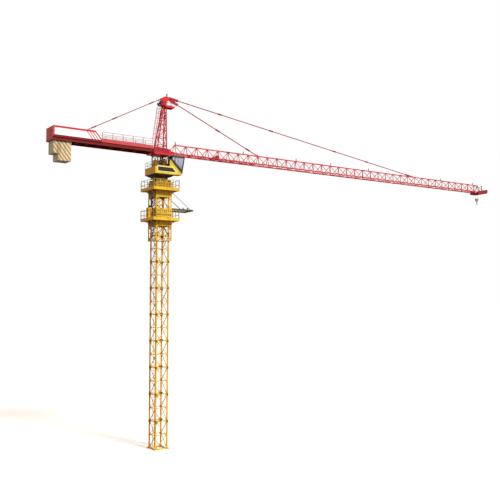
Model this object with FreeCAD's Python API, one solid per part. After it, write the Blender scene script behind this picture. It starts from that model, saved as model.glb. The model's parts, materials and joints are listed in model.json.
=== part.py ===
"""A hammerhead tower crane with a climbing frame, built at half of its real size.

Every number is in real full-size millimetres. The shapes are halved as they are
exported. The origin is on the mast axis at the foot, +X runs along the jib and
+Z is up. The left side of the crane, where the cab is, faces -Y.
"""

import FreeCAD, Part
import math
import os

# ---------------------------------------------------------------- dimensions
MODEL_SCALE = 0.5

# mast
SECTION = 3000.0            # height of one mast section
SECTIONS = 10
MAST_TOP = SECTION * SECTIONS
LEG_AT = 730.0              # leg centres from the mast axis
LEG = 140.0                 # width of a leg
LACE = 60.0                 # width of a mast bracing bar
FOOT_PLATE = 460.0
FOOT_T = 60.0
BOLT_R = 18.0
BOLT_AT = 170.0             # anchor bolts from the centre of a foot

# climbing frame
CAGE_LOW = 23420.0
CAGE_TOP = 29260.0
CAGE_HALF = 1000.0
CAGE_POST = 100.0
LOW_DECK = 25800.0          # top of the lower walkway
DECK_HALF = 1640.0
DECK_T = 60.0
RAIL_H = 1100.0
CLIMB_STROKE = 1300.0
RAM_X = -860.0

# feed beam
FEED_Z = 27070.0
FEED_TIP = 3850.0
FEED_Y = 920.0

# slewing parts
BASE_PLATE_LOW = 30010.0
RACE_R = 850.0
RACE_BORE = 650.0
RACE_LOW = 30520.0
RACE_GAP = 10.0
TABLE_LOW = 30740.0
PLATFORM_Z = 31060.0        # top of the cab platform
PLATFORM_HALF = 1300.0
COLUMN_AT = 700.0           # post centres of the slewing column
COLUMN_POST = 100.0
TURRET_LOW = 33300.0
TURRET_TOP = 33500.0

# jib
CHORD_Z = 33630.0           # centre of the bottom chords
CHORD_Y = 650.0
CHORD = 120.0
TOP_Z = 34750.0
JIB_ROOT = 1100.0
BAY = 1500.0
BAYS = 37
TOP_START = JIB_ROOT + BAY / 2
JIB_END = JIB_ROOT + BAY * BAYS
TIP_X = 58300.0
SIDE_BAR = 60.0

# counter-jib
CJ_ROOT = -1400.0
CJ_END = -13140.0
GIRDER_Y = 900.0
GIRDER_LOW = 33450.0
GIRDER_TOP = 33800.0
CJ_DECK_TOP = 33850.0

# tower head
HEAD_TOP = 39220.0
HEAD_LEG = 110.0

# trolley and hook, as parked near the tip
TROLLEY_X = 56500.0
TROLLEY_IN = 4400.0
HOOK_Z = 32500.0            # centre of the block's sheaves
WHEEL_R = 88.0


# ------------------------------------------------------------------- helpers
def vec(x, y, z):
    return FreeCAD.Vector(x, y, z)


def box(x0, x1, y0, y1, z0, z1):
    """A block between two corners."""
    return Part.makeBox(x1 - x0, y1 - y0, z1 - z0, vec(x0, y0, z0))


def rod(p, q, radius):
    """A round bar from p to q."""
    run = vec(*q).sub(vec(*p))
    return Part.makeCylinder(radius, run.Length, vec(*p), run)


def bar(p, q, width, depth=None, normal=(0, 1, 0)):
    """A four-sided bar from p to q; depth is measured along the normal."""
    depth = width if depth is None else depth
    a = vec(*p)
    run = vec(*q).sub(a)
    n = vec(*normal)
    side = run.cross(n)
    side.normalize()
    up = side.cross(run)
    up.normalize()
    side = side.multiply(width / 2)
    up = up.multiply(depth / 2)
    corners = [a + side + up, a - side + up, a - side - up, a + side - up]
    outline = Part.makePolygon(corners + corners[:1])
    return Part.Face(outline).extrude(run)


def plate(points, axis, low, high):
    """A flat plate from an outline; axis 'y' gives (x, z) points, 'x' gives (y, z)."""
    if axis == "y":
        pts = [vec(a, low, b) for a, b in points]
        run = vec(0, high - low, 0)
    elif axis == "x":
        pts = [vec(low, a, b) for a, b in points]
        run = vec(high - low, 0, 0)
    else:
        pts = [vec(a, b, low) for a, b in points]
        run = vec(0, 0, high - low)
    return Part.Face(Part.makePolygon(pts + pts[:1])).extrude(run)


def fuse(items):
    """Join the pieces of one member."""
    items = list(items)
    if len(items) == 1:
        return items[0]
    return items[0].multiFuse(items[1:]).removeSplitter()


def loose(items):
    """Like pieces that don't touch, kept as separate solids."""
    return Part.makeCompound(list(items))


def swap(p, axis):
    """Turn a point of a side facing Y into one of a side facing X."""
    return p if axis == "y" else (p[1], p[0], p[2])


def ring(outer, inner, z0, z1):
    """A square ring around the mast axis."""
    return box(-outer, outer, -outer, outer, z0, z1).cut(
        box(-inner, inner, -inner, inner, z0 - 1, z1 + 1))


def railing(axis, at, half, z0, height, posts, lean=40.0):
    """One straight run of handrail with its posts and toe board."""
    out = at
    parts = []
    for k in range(posts):
        s = -half + 20 + (2 * half - 40) * k / (posts - 1)
        parts.append(bar(swap((s, out, z0), axis), swap((s, out, z0 + height), axis), lean))
    for z in (z0 + height / 2, z0 + height - 20):
        parts.append(bar(swap((-half, out, z), axis), swap((half, out, z), axis), lean,
                         normal=(0, 0, 1)))
    parts.append(bar(swap((-half, out, z0 + 75), axis), swap((half, out, z0 + 75), axis),
                     150, 20, normal=swap((0, 1, 0), axis)))
    return fuse(parts)


nodes = {}


# ---------------------------------------------------------------------- mast
def foot():
    """The square base frame with four foot plates and their anchor bolt holes."""
    parts = []
    for sx in (-1, 1):
        for sy in (-1, 1):
            x, y = sx * LEG_AT, sy * LEG_AT
            h = FOOT_PLATE / 2
            parts.append(box(x - h, x + h, y - h, y + h, 0, FOOT_T))
    for s in (-1, 1):
        parts.append(box(-LEG_AT, LEG_AT, s * LEG_AT - 80, s * LEG_AT + 80, 0, FOOT_T))
        parts.append(box(s * LEG_AT - 80, s * LEG_AT + 80, -LEG_AT, LEG_AT, 0, FOOT_T))
    shape = fuse(parts)
    for sx in (-1, 1):
        for sy in (-1, 1):
            for bx in (-1, 1):
                for by in (-1, 1):
                    x = sx * LEG_AT + bx * BOLT_AT
                    y = sy * LEG_AT + by * BOLT_AT
                    shape = shape.cut(rod((x, y, -1), (x, y, FOOT_T + 1), BOLT_R))
    return shape.removeSplitter()


def lacing(axis, at, inner, z0, z1, step, width, turn=1, ends=True):
    """Zig-zag bracing of one flat side between two legs, with its crossbars."""
    normal = swap((0, 1, 0), axis)
    parts = []
    count = int(round((z1 - z0) / step))
    for k in range(count + 1):
        z = z0 + k * step
        if k in (0, count) and not ends:
            continue
        z = min(max(z, z0 + width / 2), z1 - width / 2)
        parts.append(bar(swap((-inner - 30, at, z), axis), swap((inner + 30, at, z), axis),
                         width, normal=normal))
    for k in range(count):
        s = turn * (1 if k % 2 == 0 else -1)
        z = z0 + k * step
        run = vec(2 * inner * s, 0, step)
        run.normalize()
        a = (-inner * s - run.x * 30, at, z - run.z * 30 + (40 if k == 0 else 0))
        b = (inner * s + run.x * 30, at, z + step + run.z * 30 - (40 if k == count - 1 else 0))
        clip = box(-2000, 2000, -2000, 2000, z0, z1)
        parts.append(bar(swap(a, axis), swap(b, axis), width, normal=normal).common(clip))
    return parts


def mast():
    legs = {}
    for sx in (-1, 1):
        for sy in (-1, 1):
            h = LEG / 2
            legs[sx, sy] = box(sx * LEG_AT - h, sx * LEG_AT + h, sy * LEG_AT - h,
                               sy * LEG_AT + h, FOOT_T, MAST_TOP)
    inner = LEG_AT - LEG / 2
    for name, sy in (("mast_side_left", -1), ("mast_side_right", 1)):
        parts = [legs[-1, sy], legs[1, sy]]
        parts += lacing("y", sy * LEG_AT, inner, FOOT_T, MAST_TOP, (MAST_TOP - FOOT_T) / 20,
                        LACE, turn=-sy)
        y0, y1 = sorted((sy * (LEG_AT - 70), sy * (LEG_AT + 70)))
        parts.append(box(-900, -790, y0, y1, CAGE_LOW + 60, CAGE_LOW + 140))
        nodes[name] = fuse(parts)
    for name, sx in (("mast_side_rear", -1), ("mast_side_front", 1)):
        parts = lacing("x", sx * LEG_AT, inner, FOOT_T, MAST_TOP, (MAST_TOP - FOOT_T) / 20,
                       LACE, turn=sx)
        nodes[name] = fuse(parts).cut(loose([legs[sx, -1], legs[sx, 1]]))
    stringers = [box(-600, -560, s - 20, s + 20, 300, MAST_TOP - 600) for s in (-200, 200)]
    rungs = [bar((-580, -200, z), (-580, 200, z), 24, normal=(0, 0, 1))
             for z in range(600, int(MAST_TOP) - 700, 300)]
    hangers = [box(-700, -600, s - 15, s + 15, z - 30, z + 30)
               for s in (-200, 200) for z in (1557, 7545, 13533, 19521, 25509)]
    nodes["mast_ladder"] = fuse(stringers + rungs + hangers)
    z = CAGE_LOW + 140
    yoke = box(-915, -805, -790, 790, z, z + 150)
    nodes["ram_rod"] = fuse([yoke, rod((RAM_X, 0, z + 100), (RAM_X, 0, z + 1850), 32)])


# ------------------------------------------------------------ climbing frame
def cross(axis, at, half, z0, z1, width):
    """An X of two bars in a side panel."""
    n = swap((0, 1, 0), axis)
    return [bar(swap((-half, at, z0), axis), swap((half, at, z1), axis), width, normal=n),
            bar(swap((half, at, z0), axis), swap((-half, at, z1), axis), width, normal=n)]


def cage_side(axis, s, posts, openings):
    """One side of the climbing frame."""
    at = s * 960.0
    n = swap((0, 1, 0), axis)
    parts = []
    upper = []
    for z in (23470, 25110):
        parts.append(bar(swap((-950, at, z), axis), swap((950, at, z), axis), 80, 60, normal=n))
    parts += cross(axis, at, 905, 23510, 25070, 60)
    parts.append(bar(swap((-950, at, 25440), axis), swap((950, at, 25440), axis), 600, 40, normal=n))
    upper.append(bar(swap((-950, at, 28820), axis), swap((950, at, 28820), axis), 740, 40, normal=n))
    upper.append(bar(swap((-950, at, 29220), axis), swap((950, at, 29220), axis), 80, 60, normal=n))
    if openings:
        return parts, upper
    for z in (25770, 27130, 28420):
        parts.append(bar(swap((-950, at, z), axis), swap((950, at, z), axis), 70, 60, normal=n))
    parts += cross(axis, at, 905, 25800, 27100, 60)
    parts += cross(axis, at, 905, 27160, 28400, 60)
    return parts + upper + posts, None


def cage():
    posts = {}
    for sx in (-1, 1):
        for sy in (-1, 1):
            x0, x1 = sorted((sx * 900, sx * 1000))
            y0, y1 = sorted((sy * 900, sy * 1000))
            posts[sx, sy] = box(x0, x1, y0, y1, CAGE_LOW, CAGE_TOP)
    for name, sy in (("cage_left", -1), ("cage_right", 1)):
        parts, _ = cage_side("y", sy, [posts[-1, sy], posts[1, sy]], False)
        nodes[name] = fuse(parts)
    everything = loose([posts[a, b] for a in (-1, 1) for b in (-1, 1)])
    rear, _ = cage_side("x", -1, [], False)
    nodes["cage_rear"] = fuse(rear).cut(everything)
    low, high = cage_side("x", 1, [], True)
    nodes["cage_front"] = loose([fuse(low).cut(everything), fuse(high).cut(everything)])


def walkway(top):
    """A square walkway around the climbing frame, on its brackets."""
    parts = [ring(DECK_HALF, CAGE_HALF, top - DECK_T, top)]
    edge = ring(DECK_HALF, DECK_HALF - 50, top - 120, top)
    parts.append(edge)
    for s in (-1, 1):
        for t in (-1, 1):
            for axis in ("x", "y"):
                n = swap((1, 0, 0), axis)
                a = swap((t * 650, s * 1000, top - 500), axis)
                b = swap((t * 650, s * 1600, top - 90), axis)
                parts.append(bar(a, b, 60, normal=n))
    shape = fuse(parts)
    keep = box(-2000, 2000, -2000, 2000, top - 700, top)
    core = box(-CAGE_HALF, CAGE_HALF, -CAGE_HALF, CAGE_HALF, top - 700, top + 10)
    return shape.common(keep).cut(core)


def rails(top, half):
    """Four runs of handrail that don't touch."""
    at = half - 25
    runs = []
    for s in (-1, 1):
        runs.append(railing("y", s * at, half, top, RAIL_H, 5))
        runs.append(railing("x", s * at, half - 70, top, RAIL_H, 5))
    return runs


def climbing_frame():
    cage()
    nodes["walkways"] = loose([walkway(LOW_DECK), walkway(CAGE_TOP)])
    nodes["walkway_handrails"] = loose(rails(LOW_DECK, DECK_HALF) + rails(CAGE_TOP, DECK_HALF))

    beams = [box(1000, FEED_TIP, s * FEED_Y - 45, s * FEED_Y + 45, FEED_Z - 90, FEED_Z + 90)
             for s in (-1, 1)]
    end = box(FEED_TIP - 100, FEED_TIP, -FEED_Y, FEED_Y, FEED_Z - 90, FEED_Z + 90)
    nodes["feed_beam"] = fuse(beams + [end])
    stays = []
    for s in (-1, 1):
        for a, b in (((1000, 29050), (3520, 27130)), ((1000, 28050), (2190, 27130))):
            stays.append(bar((a[0] - 20, s * FEED_Y, a[1]), (b[0], s * FEED_Y, b[1]), 45))
    block = loose([box(900, 1000, -1100, 1100, 26900, 29300),
                   box(900, 4600, -1100, 1100, FEED_Z - 100, FEED_Z + 90)])
    nodes["feed_beam_stays"] = loose([s.cut(block) for s in stays])

    rollers = []
    for z in (24300, 27400):
        for s in (-1, 1):
            for t in (-1, 1):
                for axis in ("x", "y"):
                    if axis == "x" and s > 0 and z > 25000:
                        continue
                    wheel = rod(swap((t * 730 - 50, s * 857, z), axis),
                                swap((t * 730 + 50, s * 857, z), axis), 47)
                    y0, y1 = sorted((s * 857, s * 930))
                    x0, x1 = t * 730 - 20, t * 730 + 20
                    lo = swap((x0, y0, 0), axis)
                    hi = swap((x1, y1, 0), axis)
                    rollers.append(fuse([wheel, box(lo[0], hi[0], lo[1], hi[1],
                                                    z - 45, z + 45)]))
    nodes["guide_rollers"] = loose(rollers)

    z = CAGE_LOW + 480
    tube = rod((RAM_X, 0, z), (RAM_X, 0, z + 1750), 60)
    tube = tube.cut(rod((RAM_X, 0, z - 1), (RAM_X, 0, z + 1650), 42))
    lug = box(-940, RAM_X, -50, 50, z + 1660, z + 1750)
    nodes["ram_barrel"] = fuse([tube, lug])

    nodes["power_pack"] = box(-1540, -1090, -170, 420, LOW_DECK, LOW_DECK + 1350)

    skirt = ring(CAGE_HALF, 850, CAGE_TOP, BASE_PLATE_LOW + 100)
    top = box(-CAGE_HALF, CAGE_HALF, -CAGE_HALF, CAGE_HALF, BASE_PLATE_LOW, BASE_PLATE_LOW + 100)
    drum = rod((0, 0, BASE_PLATE_LOW), (0, 0, RACE_LOW), RACE_R - 40)
    hole = rod((0, 0, CAGE_TOP), (0, 0, RACE_LOW + 1), 400)
    ribs = []
    for k in range(8):
        a = math.radians(45 * k + 22.5)
        rib = plate([(RACE_R - 60, BASE_PLATE_LOW + 90), (985, BASE_PLATE_LOW + 90),
                     (RACE_R - 60, RACE_LOW - 30)], "y", -20, 20)
        rib.rotate(vec(0, 0, 0), vec(0, 0, 1), math.degrees(a))
        ribs.append(rib)
    nodes["slewing_base"] = fuse([skirt, top, drum] + ribs).cut(hole)
    race = rod((0, 0, RACE_LOW), (0, 0, RACE_LOW + 100), RACE_R)
    nodes["slewing_ring"] = race.cut(rod((0, 0, RACE_LOW - 1), (0, 0, RACE_LOW + 101),
                                            RACE_BORE))


# --------------------------------------------------------------- upper works
def slewing_top():
    z = RACE_LOW + 100 + RACE_GAP
    race = rod((0, 0, z), (0, 0, TABLE_LOW), RACE_R)
    race = race.cut(rod((0, 0, z - 1), (0, 0, TABLE_LOW + 1), RACE_BORE))

    low, high = 860.0, PLATFORM_HALF
    a = [vec(x, y, TABLE_LOW) for x, y in ((-low, -low), (low, -low), (low, low), (-low, low))]
    b = [vec(x, y, PLATFORM_Z - 60)
         for x, y in ((-high, -high), (high, -high), (high, high), (-high, high))]
    table = Part.makeLoft([Part.makePolygon(a + a[:1]), Part.makePolygon(b + b[:1])], True, True)
    well = box(-480, 480, -480, 480, TABLE_LOW - 1, PLATFORM_Z)
    nodes["slewing_table"] = fuse([race, table.cut(well)])
    deck = box(-PLATFORM_HALF, PLATFORM_HALF, -PLATFORM_HALF, PLATFORM_HALF,
               PLATFORM_Z - 60, PLATFORM_Z)
    nodes["cab_platform"] = deck.cut(box(-350, 350, -350, 350, PLATFORM_Z - 61, PLATFORM_Z + 1))

    h = PLATFORM_HALF
    top = PLATFORM_Z + 740
    board = box(-940, 520, -h, -h + 40, PLATFORM_Z, top)
    nodes["name_board"] = board
    nodes["platform_sides"] = loose([
        box(-h, -960, -h, -h + 30, PLATFORM_Z, top),
        box(-h, h, h - 30, h, PLATFORM_Z, top),
        box(-h, -h + 30, -h + 40, h - 40, PLATFORM_Z, top),
        box(h - 30, h, -h + 1120, h - 40, PLATFORM_Z, top),
        plate([(540, PLATFORM_Z), (790, PLATFORM_Z), (790, 32530), (540, 32760)], "y",
              -h, -h + 30)])

    drives = []
    for sx, sy in ((-1, -1), (-1, 1)):
        x, y = sx * 1040, sy * 980
        motor = rod((x, y, PLATFORM_Z), (x, y, PLATFORM_Z + 260), 170)
        motor = fuse([motor, rod((x, y, PLATFORM_Z + 250), (x, y, PLATFORM_Z + 700), 120)])
        drives.append(motor)
    nodes["slew_drives"] = loose(drives)

    posts = {}
    p = COLUMN_POST / 2
    for sx in (-1, 1):
        for sy in (-1, 1):
            posts[sx, sy] = box(sx * COLUMN_AT - p, sx * COLUMN_AT + p, sy * COLUMN_AT - p,
                                sy * COLUMN_AT + p, PLATFORM_Z, TURRET_LOW)
    inner = COLUMN_AT - p
    step = (TURRET_LOW - PLATFORM_Z) / 2
    for name, sy in (("column_left", -1), ("column_right", 1)):
        parts = [posts[-1, sy], posts[1, sy]]
        parts += lacing("y", sy * COLUMN_AT, inner, PLATFORM_Z, TURRET_LOW, step, 60, turn=1)
        parts += cross("y", sy * COLUMN_AT, inner + 10, PLATFORM_Z + 40, PLATFORM_Z + step, 60)
        parts += cross("y", sy * COLUMN_AT, inner + 10, PLATFORM_Z + step, TURRET_LOW - 40, 60)
        nodes[name] = fuse(parts)
    both = []
    for sx in (-1, 1):
        parts = lacing("x", sx * COLUMN_AT, inner, PLATFORM_Z, TURRET_LOW, step, 60, turn=1)
        both.append(fuse(parts).cut(loose([posts[sx, -1], posts[sx, 1]])))
    nodes["column_bracing"] = loose(both)

    h = 800.0
    frame = ring(h, h - 160, TURRET_LOW, TURRET_TOP)
    ears = [box(h - 10, JIB_ROOT, s * CHORD_Y - 60, s * CHORD_Y + 60, TURRET_LOW, CHORD_Z + 60)
            for s in (-1, 1)]
    arms = [box(CJ_ROOT, -h + 10, s * 710 - 60, s * 710 + 60, TURRET_LOW, TURRET_TOP)
            for s in (-1, 1)]
    wide = box(CJ_ROOT, CJ_ROOT + 120, -GIRDER_Y - 70, GIRDER_Y + 70, GIRDER_LOW, TURRET_TOP + 250)
    base = box(520, 640, -700, 700, TURRET_LOW, TURRET_TOP)
    nodes["turret_frame"] = fuse([frame, wide, base] + ears + arms)


def cab():
    """The operator's cab: a hollow body, its panes, and the seat inside."""
    y0, y1 = -PLATFORM_HALF, -300.0
    back, low, roof = 800.0, PLATFORM_Z, 33200.0
    outline = [(back, low), (2140, low), (2500, roof), (back, roof)]
    body = plate(outline, "y", y0, y1)
    room = plate([(back + 40, low + 40), (2095, low + 40), (2444, roof - 40),
                  (back + 40, roof - 40)], "y", y0 + 40, y1 - 40)
    body = body.cut(room)
    side = plate([(920, 32330), (2080, 31190), (2400, 33080), (920, 33080)], "y", y0 - 10, y0 + 50)
    body = body.cut(side)
    far = plate([(1500, 31900), (2180, 31900), (2400, 33080), (1500, 33080)], "y", y1 - 50, y1 + 10)
    body = body.cut(far)
    front = box(1950, 2600, y0 + 90, y1 - 90, low + 130, roof - 120)
    body = body.cut(front)
    nodes["cab_shell"] = body
    t = 16.0
    panes = [plate([(920, 32330), (2080, 31190), (2400, 33080), (920, 33080)], "y", y0 + 10,
                   y0 + 10 + t),
             plate([(1500, 31900), (2180, 31900), (2400, 33080), (1500, 33080)], "y", y1 - 26,
                   y1 - 10)]
    slope = (2500 - 2140) / (roof - low)
    zl, zh = low + 130, roof - 120
    xl = 2140 + slope * (zl - low)
    xh = 2140 + slope * (zh - low)
    panes.append(plate([(xl - 36, zl), (xl - 20, zl), (xh - 20, zh), (xh - 36, zh)], "y",
                       y0 + 90, y1 - 90))
    nodes["cab_glass"] = loose(panes)
    mid = (y0 + y1) / 2
    seat = fuse([box(1150, 1600, mid - 230, mid + 230, low + 400, low + 500),
                 plate([(1150, low + 480), (1250, low + 480), (1130, low + 1150),
                        (1050, low + 1150)], "y", mid - 220, mid + 220),
                 box(1290, 1470, mid - 90, mid + 90, low + 40, low + 420)])
    consoles = [box(1350, 1750, mid + s * 330 - 70, mid + s * 330 + 70, low + 40, low + 620)
                for s in (-1, 1)]
    nodes["cab_seat"] = loose([seat] + consoles)


# ---------------------------------------------------------------- tower head
def head_leg(sx, sy, z):
    """The centre of a head leg at height z."""
    t = (z - TURRET_TOP) / (HEAD_TOP - 60 - TURRET_TOP)
    if sx < 0:
        x = -690 + t * (290 + 690)
    else:
        x = 580 + t * (610 - 580)
    y = 450 + t * (190 - 450)
    return (x, sy * y, z)


def tower_head():
    top = HEAD_TOP - 60
    levels = [TURRET_TOP, 34500, 35450, 36300, 37050, 37750, 38400, top]
    clip = box(-3000, 3000, -3000, 3000, TURRET_TOP, top)
    legs = {}
    for sx in (-1, 1):
        for sy in (-1, 1):
            a = head_leg(sx, sy, TURRET_TOP - 100)
            b = head_leg(sx, sy, top + 100)
            legs[sx, sy] = bar(a, b, HEAD_LEG).common(clip)
    for name, sy in (("head_side_left", -1), ("head_side_right", 1)):
        n = (0, 1, 0.047 * sy)
        parts = [legs[-1, sy], legs[1, sy]]
        for k, z in enumerate(levels[1:-1]):
            parts.append(bar(head_leg(-1, sy, z), head_leg(1, sy, z), 60))
        for k in range(len(levels) - 1):
            s = 1 if k % 2 == 0 else -1
            parts.append(bar(head_leg(-s, sy, levels[k] + 40), head_leg(s, sy, levels[k + 1] - 40),
                             50))
        nodes[name] = fuse(parts)
    both = loose([nodes["head_side_left"], nodes["head_side_right"]])
    bracing = []
    for sx in (-1, 1):
        parts = []
        for k, z in enumerate(levels[1:-1]):
            parts.append(bar(head_leg(sx, -1, z), head_leg(sx, 1, z), 60, normal=(1, 0, 0)))
        for k in range(len(levels) - 1):
            s = 1 if k % 2 == 0 else -1
            if 0 < k < len(levels) - 2:
                parts.append(bar(head_leg(sx, -0.7 * s, levels[k]),
                                 head_leg(sx, 0.7 * s, levels[k + 1]), 50, normal=(1, 0, 0)))
        bracing.append(fuse(parts).cut(both))
    nodes["head_platform"] = box(-130, 1660, -430, 430, top, HEAD_TOP)
    low = HEAD_TOP
    cap = plate([(260, low), (660, low), (700, low + 400), (1060, low + 750), (1100, low + 950),
                 (900, low + 1150), (620, low + 1160), (-60, low + 800), (-60, low + 600),
                 (200, low + 400)],
                "y", -60, 60)
    cheeks = [box(230, 690, s * 150 - 20, s * 150 + 20, low, low + 450) for s in (-1, 1)]
    web = box(400, 520, -170, 170, low, low + 400)
    nodes["apex_cap"] = fuse([cap, web] + cheeks)
    a = head_leg(-1, 0, 33950)
    b = head_leg(-1, 0, 38950)
    a = (a[0] - 190, 0, a[2])
    b = (b[0] - 330, 0, b[2])
    parts = [bar((a[0], s, a[2]), (b[0], s, b[2]), 30) for s in (-190, 190)]
    count = 17
    for k in range(count):
        t = (k + 0.5) / count
        x = a[0] + t * (b[0] - a[0])
        z = a[2] + t * (b[2] - a[2])
        parts.append(bar((x, -190, z), (x, 190, z), 24, normal=(0, 0, 1)))
    bracing.append(fuse(parts))
    nodes["head_bracing"] = loose(bracing)


# ----------------------------------------------------------------------- jib
def jib():
    c = CHORD / 2
    chord = {s: box(JIB_ROOT, JIB_END, s * CHORD_Y - c, s * CHORD_Y + c, CHORD_Z - c, CHORD_Z + c)
             for s in (-1, 1)}
    top_end = JIB_END - BAY / 2
    top = box(TOP_START - 60, JIB_END + 10, -c, c, TOP_Z - c, TOP_Z + c)
    nodes["jib_top_chord"] = top
    for name, s in (("jib_side_left", -1), ("jib_side_right", 1)):
        parts = []
        for k in range(BAYS):
            x = JIB_ROOT + BAY * k
            low0 = (x + 45, s * CHORD_Y, CHORD_Z)
            peak = (x + BAY / 2, 0, TOP_Z)
            low1 = (x + BAY - 45, s * CHORD_Y, CHORD_Z)
            parts.append(bar(low0, peak, SIDE_BAR, normal=(0, 1, 0)))
            parts.append(bar(peak, low1, SIDE_BAR, normal=(0, 1, 0)))
        half = box(0, 60000, 0, s * 1000, 33000, 36000) if s > 0 else \
            box(0, 60000, -1000, 0, 33000, 36000)
        cut = [p.cut(top).common(half) for p in parts]
        nodes[name] = fuse([chord[s]] + cut)
    parts = []
    inner = CHORD_Y
    for k in range(BAYS + 1):
        x = min(max(JIB_ROOT + BAY * k, JIB_ROOT + 30), JIB_END - 30)
        parts.append(bar((x, -inner, CHORD_Z), (x, inner, CHORD_Z), 50, normal=(1, 0, 0)))
    for k in range(BAYS):
        s = 1 if k % 2 == 0 else -1
        x = JIB_ROOT + BAY * k
        parts.append(bar((x + 20, -s * (inner - 50), CHORD_Z), (x + BAY - 20, s * (inner - 50),
                                                               CHORD_Z), 40, 40,
                         normal=(0, 0, 1)))
    flat = fuse(parts)
    nodes["jib_bottom"] = flat.cut(loose([nodes["jib_side_left"], nodes["jib_side_right"]]))

    end = [box(JIB_END, TIP_X - 60, s * CHORD_Y - c, s * CHORD_Y + c, CHORD_Z - c, CHORD_Z + c)
           for s in (-1, 1)]
    end.append(box(TIP_X - 120, TIP_X, -CHORD_Y - c, CHORD_Y + c, CHORD_Z - c, CHORD_Z + 500))
    end.append(box(JIB_END, JIB_END + 100, -CHORD_Y, CHORD_Y, CHORD_Z - c, CHORD_Z + c))
    for s in (-1, 1):
        end.append(bar((JIB_END + 50, s * 600, CHORD_Z), (JIB_END + 50, s * 60, TOP_Z - 200), 60,
                       normal=(1, 0, 0)))
    end.append(box(JIB_END + 10, JIB_END + 90, -90, 90, TOP_Z - 300, TOP_Z + 60))
    end.append(bar((JIB_END + 50, 0, TOP_Z - 120), (TIP_X - 60, 0, CHORD_Z + 440), 60))
    nodes["jib_tip"] = fuse(end)

    drum = rod((7730, -250, 34000), (7730, 250, 34000), 150)
    flanges = [rod((7730, s * 250, 34000), (7730, s * 275, 34000), 190) for s in (-1, 1)]
    bed = box(7500, 7960, -300, 300, CHORD_Z + 30, CHORD_Z + 60)
    feet = [box(7650, 7810, s * 285 - 10, s * 285 + 15, CHORD_Z + 50, 34020) for s in (-1, 1)]
    nodes["trolley_winch"] = fuse([drum, bed] + flanges + feet)


def ties():
    """The two jib ties and the counter-jib tie, each end to end."""
    pin = (1010, 0, HEAD_TOP + 1010)
    nodes["tie_outer"] = tie(pin, (41780, 0, TOP_Z + 60), 100)
    nodes["tie_inner"] = tie((1010, 0, HEAD_TOP + 850), (13700, 0, TOP_Z + 60), 100)
    nodes["tie_counter"] = tie((-75, 0, HEAD_TOP + 700), (-9000, 0, 35150), 90)


def tie(a, b, width):
    """A flat link bar between two pins."""
    shape = bar(a, b, width, 50)
    block = [nodes["apex_cap"], nodes["jib_top_chord"], nodes["counter_jib_deck"]]
    return shape.cut(loose(block))


# --------------------------------------------------------------- counter-jib
def counter_jib():
    girders = []
    for s in (-1, 1):
        y = s * GIRDER_Y
        web = box(CJ_END, CJ_ROOT, y - 8, y + 8, GIRDER_LOW, GIRDER_TOP)
        flanges = [box(CJ_END, CJ_ROOT, y - 60, y + 60, z, z + 24)
                   for z in (GIRDER_LOW, GIRDER_TOP - 24)]
        girders.append(fuse([web] + flanges))
    beams = []
    for x in (-1700, -3200, -4700, -6200, -7700, -9000, -10200, -10900):
        beams.append(box(x - 40, x + 40, -GIRDER_Y, GIRDER_Y, GIRDER_LOW + 60, GIRDER_TOP - 60))
    beams.append(box(CJ_END, CJ_END + 60, -GIRDER_Y, GIRDER_Y, GIRDER_LOW, GIRDER_TOP))
    nodes["counter_jib_frame"] = fuse(girders + beams)
    deck_end = -10950.0
    deck = box(deck_end, CJ_ROOT - 10, -960, 960, GIRDER_TOP, CJ_DECK_TOP)
    boards = [box(-7640, CJ_ROOT - 10, s * 970 - 15, s * 970 + 15, GIRDER_TOP, CJ_DECK_TOP + 330)
              for s in (-1, 1)]
    runs = []
    for s in (-1, 1):
        parts = []
        y = s * 930
        for k in range(6):
            x = -7600 + k * (7600 + CJ_ROOT - 60) / 5
            parts.append(box(x - 20, x + 20, y - 20, y + 20, CJ_DECK_TOP, 34950))
        for z in (34350, 34650, 34930):
            parts.append(box(-7620, CJ_ROOT - 40, y - 15, y + 15, z - 15, z + 15))
        runs.append(fuse(parts))
    nodes["counter_jib_rails"] = loose(runs)
    sides = []
    for s in (-1, 1):
        y0, y1 = sorted((s * 962, s * 1000))
        sides.append(plate([(CJ_END, GIRDER_TOP - 40), (-7660, GIRDER_TOP - 40), (-7660, 34050),
                            (-8410, 34950), (CJ_END, 34950)], "y", y0, y1))
    sides.append(box(CJ_END - 45, CJ_END - 5, -960, 960, GIRDER_LOW, 34900))
    nodes["counter_jib_sides"] = loose(sides)

    bracket = [box(-9060, -8940, s * 850 - 50, s * 850 + 50, CJ_DECK_TOP, 35000) for s in (-1, 1)]
    bracket.append(box(-9060, -8940, -900, 900, 34880, 35000))
    bracket.append(box(-9050, -8950, -60, 60, 34990, 35130))
    nodes["counter_jib_deck"] = fuse([deck] + boards + bracket)

    drum = rod((-10000, -380, 34330), (-10000, 380, 34330), 260)
    flanges = [rod((-10000, s * 380, 34330), (-10000, s * 410, 34330), 360) for s in (-1, 1)]
    cheeks = [box(-10150, -9850, s * 430 - 20, s * 430 + 20, CJ_DECK_TOP, 34400) for s in (-1, 1)]
    motor = [rod((-10000, 400, 34330), (-10000, 800, 34330), 200),
             box(-10150, -9850, 440, 780, CJ_DECK_TOP, 34330)]
    nodes["hoist_winch"] = fuse([drum] + flanges + cheeks + motor)
    nodes["electrical_cabinets"] = loose([
        box(-10820, -10420, -700, 700, CJ_DECK_TOP, 34750),
        box(60, 600, -560, -60, PLATFORM_Z, PLATFORM_Z + 1800)])

    slabs = []
    for k in range(5):
        x1 = -11050 - 290 * k
        slabs.append(slab(x1 - 280, x1, 31350))
    slabs.append(slab(-12990, -12540, 32080))
    nodes["counterweights"] = loose(slabs)


def slab(x0, x1, low):
    """A hanging weight with shoulders that rest on the girders."""
    body = box(x0, x1, -750, 750, low, 33980)
    ears = box(x0, x1, -950, 950, GIRDER_TOP, 33980)
    return fuse([body, ears])


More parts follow.
